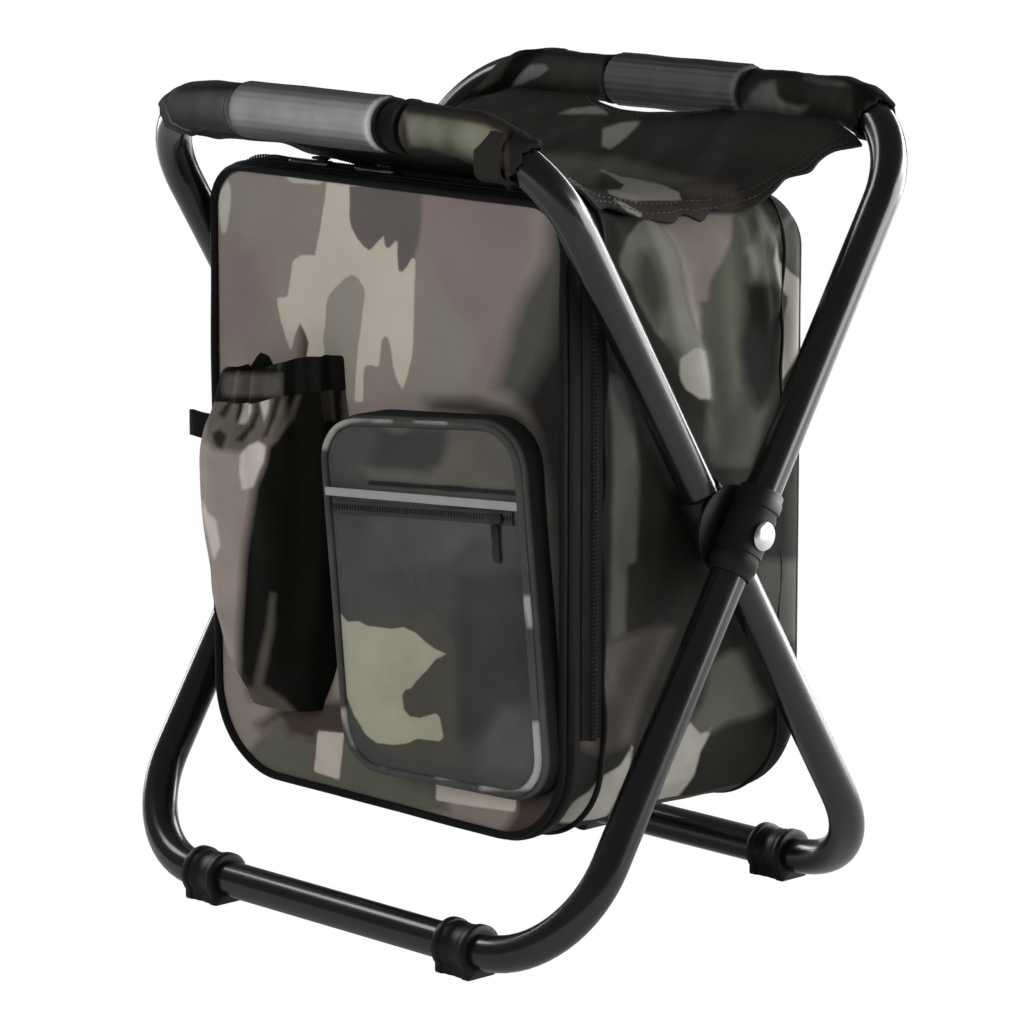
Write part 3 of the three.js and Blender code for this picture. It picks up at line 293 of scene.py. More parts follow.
def carried(path, section, up=(0.0, 0.0, 1.0), closed=False):
    """Rings of a section carried along a path without twist. A section may differ at each point."""
    path = np.asarray(path, float)
    if closed:
        tangents = np.roll(path, -1, 0) - np.roll(path, 1, 0)
    else:
        tangents = np.gradient(path, axis=0)
    tangents = tangents / np.linalg.norm(tangents, axis=1, keepdims=True)
    side = np.cross(tangents[0], up)
    rings = []
    sections = np.broadcast_to(section, (len(path),) + np.shape(section)[-2:])
    for point, tangent, outline in zip(path, tangents, sections):
        side = side - tangent * (side @ tangent)
        side = side / np.linalg.norm(side)
        rise = np.cross(side, tangent)
        rings.append(point + outline[:, :1] * side + outline[:, 1:] * rise)
    return np.array(rings)


def grid_quads(rows, columns, around):
    """Corner numbers of the quads between neighbouring rows of a grid."""
    i, j = np.meshgrid(np.arange(rows - 1), np.arange(columns if around else columns - 1), indexing="ij")
    k = (j + 1) % columns
    corners = [i * columns + j, i * columns + k, (i + 1) * columns + k, (i + 1) * columns + j]
    return np.stack(corners, -1).reshape(-1, 4)


def grid_lengths(grid, around):
    """Lengths in metres along and across a grid, for each corner of its quads."""
    walked = np.concatenate([grid, grid[:, :1]], 1) if around else grid
    across = np.cumsum(np.linalg.norm(np.diff(walked, axis=1), axis=2), axis=1)
    across = np.concatenate([np.zeros((len(grid), 1)), across], 1)
    across = across - across[:, -1:] / 2
    along = np.cumsum(np.linalg.norm(np.diff(walked, axis=0), axis=2), axis=0)
    along = np.concatenate([np.zeros((1, walked.shape[1])), along], 0)
    both = np.stack([across, along], -1) * MM
    corners = [both[:-1, :-1], both[:-1, 1:], both[1:, 1:], both[1:, :-1]]
    return np.stack(corners, 2).reshape(-1, 2)


def mesh_piece(name, points, faces, material, lengths=None):
    """A smooth mesh in its place, from points in millimetres, with its faces outward."""
    points = np.asarray(points, float) * MM
    first = points[[face[0] for face in faces]]
    volume = 0.0
    for step in range(2, max(len(face) for face in faces)):
        chosen = [face[step] if step < len(face) else face[-1] for face in faces]
        before = [face[step - 1] if step < len(face) else face[-1] for face in faces]
        volume += np.einsum("ij,ij->i", first, np.cross(points[before], points[chosen])).sum()
    if volume < 0:
        faces = [list(reversed(face)) for face in faces]
        if lengths is not None:
            sizes = np.cumsum([0] + [len(face) for face in faces])
            lengths = np.concatenate([lengths[a:b][::-1] for a, b in zip(sizes[:-1], sizes[1:])])
    mesh = bpy.data.meshes.new(name)
    mesh.from_pydata(points.tolist(), [], faces)
    if lengths is not None:
        mesh.uv_layers.new(name="weave").data.foreach_set("uv", np.asarray(lengths, np.float32).ravel())
    mesh.polygons.foreach_set("use_smooth", [True] * len(faces))
    mesh.set_sharp_from_angle(angle=SHARP_ANGLE)
    mesh.materials.append(material)
    made = bpy.data.objects.new(name, mesh)
    bpy.context.collection.objects.link(made)
    return made


def loft(name, rings, material, ends="fan"):
    """A closed skin through rings. Ends are closed by a fan, by a strip, or join each other."""
    rings = np.asarray(rings, float)
    rows, columns = rings.shape[:2]
    walked = np.concatenate([rings, rings[:1]]) if ends == "joined" else rings
    quads = grid_quads(len(walked), columns, True)
    lengths = grid_lengths(walked, True)
    faces = (quads % (rows * columns)).tolist()
    points = rings.reshape(-1, 3)
    if ends == "joined":
        return mesh_piece(name, points, faces, material, lengths)
    caps = []
    for first, flip in ((0, True), ((rows - 1) * columns, False)):
        if ends == "strip":
            last = first + columns - 1
            cap = [[first + j, first + j + 1, last - j - 1, last - j] for j in range(columns // 2 - 1)]
        else:
            centre = len(points)
            points = np.concatenate([points, points[first:first + columns].mean(0, keepdims=True)])
            cap = [[centre, first + j, first + (j + 1) % columns] for j in range(columns)]
        caps += [face[::-1] if flip else face for face in cap]
    flat = np.concatenate([[points[k, :2] for k in face] for face in caps]) * MM
    return mesh_piece(name, points, faces + caps, material, np.concatenate([lengths, flat]))


def thick_sheet(name, grid, thickness, material):
    """A sheet of cloth with two sides and a rim, from a grid of points on its middle surface."""
    grid = np.asarray(grid, float)
    normal = np.cross(np.gradient(grid, axis=0), np.gradient(grid, axis=1))
    normal /= np.linalg.norm(normal, axis=2, keepdims=True) + 1e-9
    over, under = grid + normal * thickness / 2, grid - normal * thickness / 2
    return loft(name, np.concatenate([over, under[:, ::-1]], 1), material, ends="strip")


def settled(made, body, slot, *nodes):
    """The piece moves with its body and stands for CAD nodes, which are hidden. The slot is not used."""
    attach(made, body)
    if nodes:
        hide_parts(*nodes)
    return made


# %% Folds, creases and patches drawn on the cloth
def eased(value, low, high):
    """0 below low, 1 above high, and smooth between."""
    t = np.clip((np.asarray(value, float) - low) / (high - low), 0.0, 1.0)
    return t * t * (3 - 2 * t)


def near_path(points, path):
    """Distance of 2-D points to a path, the side they are on, and how far along it they lie."""
    points, path = np.asarray(points, float), np.asarray(path, float)
    best = np.full(len(points), 1e9)
    side, share = np.zeros(len(points)), np.zeros(len(points))
    for k, (a, b) in enumerate(zip(path[:-1], path[1:])):
        run = b - a
        t = np.clip(((points - a) @ run) / (run @ run), 0.0, 1.0)
        gap = points - (a + t[:, None] * run)
        distance = np.hypot(gap[:, 0], gap[:, 1])
        nearer = distance < best
        best = np.where(nearer, distance, best)
        side = np.where(nearer, np.sign(run[0] * gap[:, 1] - run[1] * gap[:, 0]), side)
        share = np.where(nearer, (k + t) / (len(path) - 1), share)
    return best, side, share


def ridge(points, path, width, height, steep=1.0):
    """Height of a soft ridge along a path. Below 1, steep narrows its left side."""
    distance, side, share = near_path(points, path)
    reach = np.where(side > 0, width * steep, width)
    ends = np.sin(np.pi * np.clip(share, 0.02, 0.98)) ** 0.5
    return height * ends * np.exp(-0.5 * (distance / reach) ** 2)


def inside_outline(points, outline):
    """Signed distance of 2-D points from a closed outline x, y, x, y, ...; above 0 inside."""
    points, outline = np.asarray(points, float), np.reshape(outline, (-1, 2)).astype(float)
    loop = np.concatenate([outline, outline[:1]])
    distance = near_path(points, loop)[0]
    inside = np.zeros(len(points), bool)
    for (x0, z0), (x1, z1) in zip(loop[:-1], loop[1:]):
        crosses = (z0 > points[:, 1]) != (z1 > points[:, 1])
        at = (x1 - x0) * (points[:, 1] - z0) / (z1 - z0 + 1e-12) + x0
        inside ^= crosses & (points[:, 0] < at)
    return np.where(inside, distance, -distance)


def ripple(points, wavelength, seed, waves=9):
    """Smooth random heights from about -1 to 1, as a sum of waves with a fixed seed."""
    random = np.random.default_rng(seed)
    total = np.zeros(np.shape(points)[:-1])
    for _ in range(waves):
        heading = random.normal(size=np.shape(points)[-1])
        heading *= 2 * np.pi / (np.linalg.norm(heading) * wavelength * random.uniform(0.7, 1.6))
        total += np.sin(points @ heading + random.uniform(0, 2 * np.pi))
    return total / waves**0.5


FAR_OUTSIDE = -60.0
PICTURE_WIDTH = 1024.0
MM_PER_STEP = 0.5


def stored(made, layer, values):
    """Keeps one number for each vertex, for the shader to read."""
    attribute = made.data.attributes.new(layer, "FLOAT", "POINT")
    attribute.data.foreach_set("value", np.asarray(values, np.float32))


def vertices_of(made):
    """Places of a piece's vertices in millimetres."""
    return np.array([vertex.co for vertex in made.data.vertices]) / MM


def in_picture(points):
    """Where points in millimetres lie in the picture: steps to the right, steps down."""
    axes = np.array(camera.rotation_quaternion.to_matrix())
    local = (np.asarray(points) * MM - np.array(camera.location)) @ axes
    scale = PICTURE_WIDTH * LENS_MM / SENSOR_MM / -local[:, 2]
    return np.stack([PICTURE_WIDTH / 2 + scale * local[:, 0], PICTURE_WIDTH / 2 - scale * local[:, 1]], 1)


def paint_seen(made, patches, where=None):
    """Stores how deep each vertex lies in the outlines of each patch, in mm, for the shader to cut.
    Outlines are drawn as the camera sees them, and are carried on to the skin that it sees."""
    points = vertices_of(made)
    normals = np.array([vertex.normal for vertex in made.data.vertices])
    seen = np.einsum("ij,ij->i", normals, np.array(camera.location) - points * MM) > 0
    if where is not None:
        seen &= where(points)
    flat = in_picture(points)
    for layer, (_, _, outlines) in patches.items():
        if outlines:
            depth = np.max([inside_outline(flat, outline) for outline in outlines], 0) * MM_PER_STEP
            stored(made, layer, np.where(seen, np.maximum(depth, FAR_OUTSIDE), FAR_OUTSIDE))


print("helpers ready; a test ring has", len(rounded_loop(10, 0, 20, 3, 3, 5, 40)), "points")

# %% [markdown]
# ## Finishes
# Every cloth here is the same woven polyester with a printed woodland camouflage, so node groups
# carry what they share. The weave group gives threads over and under from the lengths stored on each
# mesh. Two patch groups lay one colour over another: one where a drawn outline says so, and one from
# noise, for sides that have no outline. Drawn outlines give patches of the print, and also painted
# shade and painted highlights; round pieces can get painted shade on their rims too. The grain group
# varies a tone a little from place to place. An image would need a file; this needs none.

# %% Shared node groups
THREAD_PITCH = 0.0011


def new_group(name, inputs, outputs):
    """An empty node group with named sockets, and its two ends."""
    group = bpy.data.node_groups.new(name, "ShaderNodeTree")
    for way, sockets in (("INPUT", inputs), ("OUTPUT", outputs)):
        for label, kind in sockets.items():
            group.interface.new_socket(label, in_out=way, socket_type=kind)
    return group, add_node(group, "NodeGroupInput"), add_node(group, "NodeGroupOutput")


FLOAT, COLOUR, VECTOR = "NodeSocketFloat", "NodeSocketColor", "NodeSocketVector"

weave_group, start, end = new_group("weave", {"Lengths": VECTOR, "Pitch": FLOAT}, {"Height": FLOAT})
spun = {"Vector": start.outputs["Lengths"], "Scale": 260.0, "Detail": 2.0}
wobble = add_node(weave_group, "ShaderNodeTexNoise", spun)
drift = calculate(weave_group, "MULTIPLY", wobble.outputs["Fac"], 0.0009)
split = add_node(weave_group, "ShaderNodeSeparateXYZ", {"Vector": start.outputs["Lengths"]})
waves = []
for axis in ("X", "Y"):
    moved = calculate(weave_group, "ADD", split.outputs[axis], drift)
    turns = calculate(weave_group, "DIVIDE", moved, start.outputs["Pitch"])
    waves.append(calculate(weave_group, "SINE", calculate(weave_group, "MULTIPLY", turns, math.tau)))
crossed = calculate(weave_group, "MULTIPLY", waves[0], waves[1])
weave_group.links.new(crossed, end.inputs["Height"])

# The drawn patches laid by this group are print, and also painted shade and painted highlights.
print_group, start, end = new_group(
    "print_and_painted_light_patch",
    {"Under": COLOUR, "Over": COLOUR, "Depth": FLOAT, "Where": VECTOR, "Ragged": FLOAT, "Soft": FLOAT},
    {"Colour": COLOUR},
)
rough_edge = {"Vector": start.outputs["Where"], "Scale": 70.0, "Detail": 4.0}
edge = add_node(print_group, "ShaderNodeTexNoise", rough_edge)
push = calculate(print_group, "MULTIPLY", calculate(print_group, "SUBTRACT", edge.outputs["Fac"], 0.5), 2.0)
reach = calculate(print_group, "MULTIPLY_ADD", push, start.outputs["Ragged"], start.outputs["Depth"])
below = calculate(print_group, "MULTIPLY", start.outputs["Soft"], -1.0)
cover = ranged(print_group, reach, below, start.outputs["Soft"])
printed = mixed(print_group, cover, start.outputs["Under"], start.outputs["Over"])
print_group.links.new(printed, end.inputs["Colour"])

noise_print_group, start, end = new_group(
    "woodland_noise",
    {"Under": COLOUR, "Over": COLOUR, "Where": VECTOR, "Scale": FLOAT, "Level": FLOAT, "Seed": FLOAT},
    {"Colour": COLOUR},
)
seeds = {0: start.outputs["Seed"], 1: start.outputs["Seed"], 2: 0.0}
shift = add_node(noise_print_group, "ShaderNodeCombineXYZ", seeds)
moved = {0: start.outputs["Where"], 1: shift.outputs[0]}
place = add_node(noise_print_group, "ShaderNodeVectorMath", moved)
blot_shape = {"Scale": start.outputs["Scale"], "Detail": 3.0, "Roughness": 0.42, "Distortion": 0.6}
blots = add_node(noise_print_group, "ShaderNodeTexNoise", {"Vector": place.outputs[0], **blot_shape})
above = calculate(noise_print_group, "SUBTRACT", blots.outputs["Fac"], start.outputs["Level"])
cover = ranged(noise_print_group, above, -0.004, 0.004)
printed = mixed(noise_print_group, cover, start.outputs["Under"], start.outputs["Over"])
noise_print_group.links.new(printed, end.inputs["Colour"])

grain_group, start, end = new_group(
    "grain", {"Where": VECTOR, "Scale": FLOAT, "Low": FLOAT, "High": FLOAT}, {"Tone": FLOAT}
)
cloudy = {"Scale": start.outputs["Scale"], "Detail": 5.0, "Roughness": 0.6}
cloud = add_node(grain_group, "ShaderNodeTexNoise", {"Vector": start.outputs["Where"], **cloudy})
tone = ranged(grain_group, cloud.outputs["Fac"], 0.3, 0.7, start.outputs["Low"], start.outputs["High"])
grain_group.links.new(tone, end.inputs["Tone"])
print("groups:", [group.name for group in bpy.data.node_groups])


# %% One function for every plain finish, one for every printed cloth
def use_group(tree, group, **inputs):
    """A group node with its sockets set; the word before each value is the socket's name."""
    return add_node(tree, "ShaderNodeGroup", inputs, node_tree=group)


def bare_finish(name, roughness, metallic=0.0, coat=0.0, specular=0.5):
    """A material with its tree, its Principled node and the object coordinates."""
    material = bpy.data.materials.new(name)
    material.use_nodes = True
    tree = material.node_tree
    surface = tree.nodes["Principled BSDF"]
    sockets = ("Roughness", "Metallic", "Coat Weight", "Specular IOR Level")
    for socket, value in zip(sockets, (roughness, metallic, coat, specular)):
        surface.inputs[socket].default_value = value
    where = add_node(tree, "ShaderNodeTexCoord").outputs["Object"]
    return material, tree, surface, where


def toned(tree, tint, tone):
    """A colour made darker or lighter by a number."""
    grey = add_node(tree, "ShaderNodeCombineColor", {0: tone, 1: tone, 2: tone})
    return mixed(tree, 1.0, tint, grey.outputs[0], "MULTIPLY")


def raised(tree, surface, height, distance, strength=1.0):
    """Light falls on the surface as if it had this height, in metres of distance."""
    bump = add_node(tree, "ShaderNodeBump", {"Height": height, "Distance": distance, "Strength": strength})
    tree.links.new(bump.outputs["Normal"], surface.inputs["Normal"])


def painted_rim_shade(tree, tone, least):
    """Painted shade: a tone that falls where a round skin turns away from the eye, as under a lamp near the
    camera.
    """
    facing = add_node(tree, "ShaderNodeLayerWeight", {"Blend": 0.5}).outputs["Facing"]
    return calculate(tree, "MULTIPLY", tone, ranged(tree, facing, 0.02, 0.62, 1.0, least, smooth=True))


def grained_finish(name, tint, roughness, scale, spread, relief=0.0, edge=1.0, **more):
    """A plain finish whose colour and roughness vary a little, with an optional fine relief and optional
    painted shade on its rims.
    """
    material, tree, surface, where = bare_finish(name, roughness, **more)
    tone = use_group(tree, grain_group, Where=where, Scale=scale, Low=1.0 - spread, High=1.0 + spread)
    shade = painted_rim_shade(tree, tone.outputs["Tone"], edge) if edge < 1.0 else tone.outputs["Tone"]
    tree.links.new(toned(tree, tint, shade), surface.inputs["Base Color"])
    low, high = roughness * 0.88, min(roughness * 1.12, 1.0)
    rough = ranged(tree, tone.outputs["Tone"], 1.0 - spread, 1.0 + spread, low, high)
    tree.links.new(rough, surface.inputs["Roughness"])
    if relief:
        fine = add_node(tree, "ShaderNodeTexNoise", {"Vector": where, "Scale": scale * 12.0, "Detail": 3.0})
        raised(tree, surface, fine.outputs["Fac"], relief)
    return material


def woven_finish(name, tint, pitch=THREAD_PITCH, relief=0.00012, roughness=0.85):
    """A plain coloured woven cloth, tape or webbing."""
    material, tree, surface, where = bare_finish(name, roughness, specular=0.12)
    lengths = add_node(tree, "ShaderNodeUVMap", uv_map="weave").outputs["UV"]
    weave = use_group(tree, weave_group, Lengths=lengths, Pitch=pitch)
    tone = use_group(tree, grain_group, Where=where, Scale=40.0, Low=0.88, High=1.12)
    shade = calculate(tree, "MULTIPLY_ADD", weave.outputs["Height"], 0.07, tone.outputs["Tone"])
    tree.links.new(toned(tree, tint, shade), surface.inputs["Base Color"])
    raised(tree, surface, weave.outputs["Height"], relief, 0.8)
    return material


def printed_and_painted_cloth(
    name, base, patches, noise=(), roughness=0.8, spread=0.10, ragged=0.9, clouds=22.0, edge=1.0
):
    """Woven cloth with patches: noise print first, then drawn patches of print, painted shade and painted
    highlights over them.
    """
    material, tree, surface, where = bare_finish(name, roughness, specular=0.12)
    lengths = add_node(tree, "ShaderNodeUVMap", uv_map="weave").outputs["UV"]
    tint = base
    for over, level, scale, seed in noise:
        look = {"Under": tint, "Over": over, "Where": where, "Scale": scale, "Level": level, "Seed": seed}
        tint = use_group(tree, noise_print_group, **look).outputs["Colour"]
    for layer, (over, soft, _) in patches.items():
        depth = add_node(tree, "ShaderNodeAttribute", attribute_name=layer).outputs["Fac"]
        look = {"Under": tint, "Over": over, "Depth": depth, "Where": where, "Ragged": ragged, "Soft": soft}
        tint = use_group(tree, print_group, **look).outputs["Colour"]
    weave = use_group(tree, weave_group, Lengths=lengths, Pitch=THREAD_PITCH)
    tone = use_group(tree, grain_group, Where=where, Scale=clouds, Low=1.0 - spread, High=1.0 + spread)
    shade = calculate(tree, "MULTIPLY_ADD", weave.outputs["Height"], 0.035, tone.outputs["Tone"])
    # Rims that turn away from the eye get painted shade when edge is below 1.
    shade = painted_rim_shade(tree, shade, edge) if edge < 1.0 else shade
    tree.links.new(toned(tree, tint, shade), surface.inputs["Base Color"])
    raised(tree, surface, weave.outputs["Height"], 0.0001, 0.55)
    return material


# %% The plain finishes
BLACK_ENAMEL = colour(0.004, 0.004, 0.0042)
BLACK_PLASTIC = colour(0.004, 0.004, 0.004)
FRONT_FOAM = colour(0.42, 0.42, 0.42)
REAR_FOAM = colour(0.10, 0.10, 0.10)
BLACK_TAPE = colour(0.006, 0.006, 0.006)
DARK_BAND = colour(0.003, 0.003, 0.003)

enamel = grained_finish("black_enamel", BLACK_ENAMEL, 0.25, 18.0, 0.25, relief=0.00002, coat=0.3)
plastic = grained_finish("black_moulded_plastic", BLACK_PLASTIC, 0.5, 60.0, 0.2, 0.00005, specular=0.3)
# Both foam grips get painted shade on the rims that turn away from the eye (edge 0.12 and 0.2).
front_foam = grained_finish("mid_grey_foam", FRONT_FOAM, 0.6, 90.0, 0.10, 0.00012, 0.12, specular=0.2)
rear_foam = grained_finish("dark_grey_foam", REAR_FOAM, 0.6, 90.0, 0.14, 0.00012, 0.2, specular=0.2)
binding = woven_finish("black_binding_tape", BLACK_TAPE, pitch=0.0012, roughness=0.6)
band_cloth = woven_finish("black_band_cloth", DARK_BAND, roughness=0.6)
webbing = woven_finish("brown_black_webbing", colour(0.018, 0.0165, 0.0145), pitch=0.0012)
zip_cloth = woven_finish("dark_zip_tape", colour(0.014, 0.013, 0.012), pitch=0.0009)
nylon_teeth = grained_finish("dark_zip_teeth", colour(0.009, 0.009, 0.009), 0.5, 100.0, 0.1, specular=0.3)
slider_metal = grained_finish(
    "burnished_slider_metal", colour(0.26, 0.26, 0.27), 0.32, 120.0, 0.15, metallic=1.0
)
pull_cord = grained_finish("black_pull_cord", BLACK_TAPE, 0.5, 80.0, 0.1)
rivet_steel = grained_finish("rivet_steel", colour(0.72, 0.72, 0.73), 0.3, 120.0, 0.15, metallic=1.0)
reflective = grained_finish("pale_reflective_tape", colour(0.235, 0.222, 0.22), 0.45, 200.0, 0.06, 0.00004)
pocket_tape_cloth = woven_finish("grey_pocket_zip_tape", colour(0.035, 0.035, 0.034), pitch=0.0009)
thread = grained_finish("dark_thread", colour(0.022, 0.021, 0.018), 0.6, 200.0, 0.1)
foil = grained_finish(
    "crinkled_foil_lining", colour(0.62, 0.62, 0.63), 0.33, 60.0, 0.08, 0.0014, metallic=0.8
)
foam = grained_finish("white_foam_sheet", colour(0.62, 0.62, 0.6), 0.85, 140.0, 0.05, relief=0.0003)
print("plain finishes:", len(bpy.data.materials))

# %% [markdown]
# ## The two hoops
# Each hoop is one steel tube bent into a rounded rectangle and enamelled black. The two lean against
# each other and cross at the rivets. A curve with a bevel would do, but the sleeves, the feet and the
# collars must follow the same line, so the line is worked out once as points and used for them all.

# %% The line of each hoop, and its tube
PIVOT_HEIGHT = 206.5
BAR_Y = 119.2
TOP_BAR_Z = 400.0
BOTTOM_BAR_Z = 13.0
LEG_ANGLE = math.atan2(BAR_Y, TOP_BAR_Z - PIVOT_HEIGHT)
HOOP_HALF_HEIGHT = math.hypot(BAR_Y, TOP_BAR_Z - PIVOT_HEIGHT)
TUBE_RADIUS = 9.0
HALF_WIDTH = {"outer_frame": 159.5, "inner_frame": 139.5}
TOP_BEND, BOTTOM_BEND = 52.0, 56.0
LEAN = {"outer_frame": 1.0, "inner_frame": -1.0}
TUBE_SIDES = 36


def on_hoop(frame_name, across, up):
    """Points of a hoop's own plane, moved to where the hoop stands in the stool."""
    across, up = np.broadcast_arrays(np.asarray(across, float), np.asarray(up, float))
    y = LEAN[frame_name] * up * math.sin(LEG_ANGLE)
    return np.stack([across, y, PIVOT_HEIGHT + up * math.cos(LEG_ANGLE)], -1)


def hoop_line(frame_name, bend_steps=18, run_steps=7):
    """The hoop's centre line, with its straight runs split into a few steps."""
    loop = rounded_loop(
        HALF_WIDTH[frame_name], -HOOP_HALF_HEIGHT, HOOP_HALF_HEIGHT, BOTTOM_BEND, TOP_BEND, bend_steps, 0,
    )
    points = []
    for a, b in zip(loop, np.roll(loop, -1, 0)):
        steps = run_steps if np.linalg.norm(b - a) > 2 * TUBE_RADIUS else 1
        points += [a + (b - a) * k / steps for k in range(steps)]
    points = np.array(points)
    return on_hoop(frame_name, points[:, 0], points[:, 1])


for frame_name in ("outer_frame", "inner_frame"):
    line = hoop_line(frame_name)
    middle = on_hoop(frame_name, 0, 0)
    normal = np.cross(on_hoop(frame_name, 1, 0) - middle, on_hoop(frame_name, 0, 1) - middle)
    rings = carried(line, circle(TUBE_SIDES, TUBE_RADIUS), up=normal, closed=True)
    tube = loft(frame_name + "_enamelled_tube", rings, enamel, ends="joined")
    settled(tube, frame_name, "frame_enamel", frame_name + "_upper_tube", frame_name + "_lower_tube")
    print(tube.name, "has", len(tube.data.polygons), "faces; line length", round(len(line)))

# %% [markdown]
# ## Collars, rivets and feet
# Where the legs cross, a moulded plastic collar grips each leg, with a thin spacer between the legs
# and a domed rivet through all of it. On the ground each hoop stands on two clip-on feet, saddles
# with a flat pad and a rib at each end. All are turned or extruded shapes, so each is one section
# carried along a short line; the bevels and ribs are in the section.

# %% Collars on the legs
COLLAR_MOUTH = 8.0
COLLAR_SIDES = 48


def collar_section(radius, open_side):
    """A round collar cut flat on the side that faces the other leg."""
    ring = circle(COLLAR_SIDES, radius)
    ring[:, 0] = np.minimum(ring[:, 0] * open_side, COLLAR_MOUTH) * open_side
    return ring


def collar(frame_name, side):
    """The moulded collar round one leg at the crossing."""
    steps = [
        (-22.0, 9.2), (-22.0, 10.5), (-21.4, 10.9), (-18.4, 11.1), (-17.8, 11.7), (-13.0, 11.7),
        (-12.6, 11.0), (-10.6, 11.0), (-10.2, 11.7), (10.2, 11.7), (10.6, 11.0), (12.6, 11.0),
        (13.0, 11.7), (17.8, 11.7), (18.4, 11.1), (21.4, 10.9), (22.0, 10.5), (22.0, 9.2),
    ]
    facing = -side if frame_name == "outer_frame" else side
    across = np.array([1.0, 0.0, 0.0])
    depth = np.cross(on_hoop(frame_name, 0, 1) - on_hoop(frame_name, 0, 0), across)
    rings = []
    for along, radius in steps:
        ring = collar_section(radius, facing)
        middle = on_hoop(frame_name, side * HALF_WIDTH[frame_name], along)
        rings.append(middle + ring[:, :1] * across + ring[:, 1:] * depth)
    word = "right" if side > 0 else "left"
    kind = frame_name.split("_")[0]
    made = loft(f"{kind}_collar_{word}", rings, plastic)
    return settled(made, frame_name, "black_plastic", f"pivot_collar_{kind}_{word}")


def turned(name, profile, material, sides=32):
    """A round solid about a line along X through the pivots, from (x, radius) pairs."""
    rings = []
    for x, radius in profile:
        ring = circle(sides, max(radius, 0.02))
        rings.append(points_at(x, ring[:, 0], PIVOT_HEIGHT + ring[:, 1]))
    return loft(name, rings, material)


RIVET = [
    (128.1, 0.5), (128.1, 4.2), (128.5, 4.6), (129.6, 4.6), (130.2, 4.4), (130.2, 3.0), (171.5, 3.0),
    (171.5, 6.6), (171.8, 7.0), (172.3, 6.7), (172.9, 5.8), (173.4, 4.4), (173.75, 2.6), (173.9, 0.8),
]
SPACER = [(148.8, 21.6), (149.0, 22.0), (150.0, 22.0), (150.2, 21.6)]
for side, word in ((1, "right"), (-1, "left")):
    for frame_name in ("outer_frame", "inner_frame"):
        collar(frame_name, side)
    rivet = turned(f"pivot_rivet_{word}", [(side * x, radius) for x, radius in RIVET], rivet_steel)
    settled(rivet, "outer_frame", "pin_steel", f"pivot_pin_{word}")
    spacer = turned(f"leg_spacer_{word}", [(side * x, radius) for x, radius in SPACER], plastic, 40)
    settled(spacer, "outer_frame", "black_plastic", f"pivot_spacer_{word}")
print("collars, rivets and spacers made")

# %% Clip-on feet
FOOT_PLACES = {
    "foot_front_left": (-92.0, -BAR_Y, "outer_frame"), "foot_front_right": (92.0, -BAR_Y, "outer_frame"),
    "foot_rear_left": (-72.0, BAR_Y, "inner_frame"), "foot_rear_right": (72.0, BAR_Y, "inner_frame"),
}
FOOT_STEPS = [
    (-11.0, 9.4), (-11.0, 12.3), (-10.6, 12.7), (-7.5, 12.7), (-7.1, 12.3), (-6.8, 11.7), (-2.4, 11.7),
    (-2.0, 11.3), (2.0, 11.3), (2.4, 11.7), (6.8, 11.7), (7.1, 12.3), (7.5, 12.7), (10.6, 12.7),
    (11.0, 12.3), (11.0, 9.4),
]
PAD_HALF = 9.0


def foot_section(radius):
    """A saddle's outline: round over the bar, straight cheeks, and a flat pad on the ground."""
    outline = []
    half = min(PAD_HALF + (radius - 11.7), radius - 0.4)
    start = math.acos(half / radius)
    for turn in np.linspace(-start, math.pi + start, 40):
        outline.append((radius * math.cos(turn), radius * math.sin(turn)))
    if radius > 10.0:
        outline += [(-half, -11.4), (-half + 0.5, -12.6), (-half + 1.6, -13.0)]
        outline += [(half - 1.6, -13.0), (half - 0.5, -12.6), (half, -11.4)]
    else:
        outline += [(-half, -radius * 0.8), (-half * 0.7, -radius * 0.9), (-half * 0.4, -radius)]
        outline += [(half * 0.4, -radius), (half * 0.7, -radius * 0.9), (half, -radius * 0.8)]
    return np.array(outline)


for name, (x, y, body) in FOOT_PLACES.items():
    rings = []
    for along, radius in FOOT_STEPS:
        outline = foot_section(radius)
        rings.append(points_at(x + along, y + outline[:, 0], BOTTOM_BAR_Z + outline[:, 1]))
    settled(loft(name + "_clip", rings, plastic), body, "black_plastic", name)
foot = vertices_of(bpy.data.objects["foot_front_left_clip"])
print("feet stand at z =", round(float(foot[:, 2].min()), 1), "mm")

# %% [markdown]
# ## Foam grips
# A hand grips the bars here: soft foam tubes, lighter in front and darker behind. Their ends are
# rounded and they carry fine ribs along the bar, which catch the light. The ribs are part of the
# section, a circle whose radius rises and falls, because they run the whole length.

# %% Grips and the binding band
GRIP_RADIUS = 14.0
GRIP_END = 2.5
GRIP_SIDES = 96
BAND_SIDES = 64
RIB_COUNT = 24
RIB_HEIGHT = 0.35


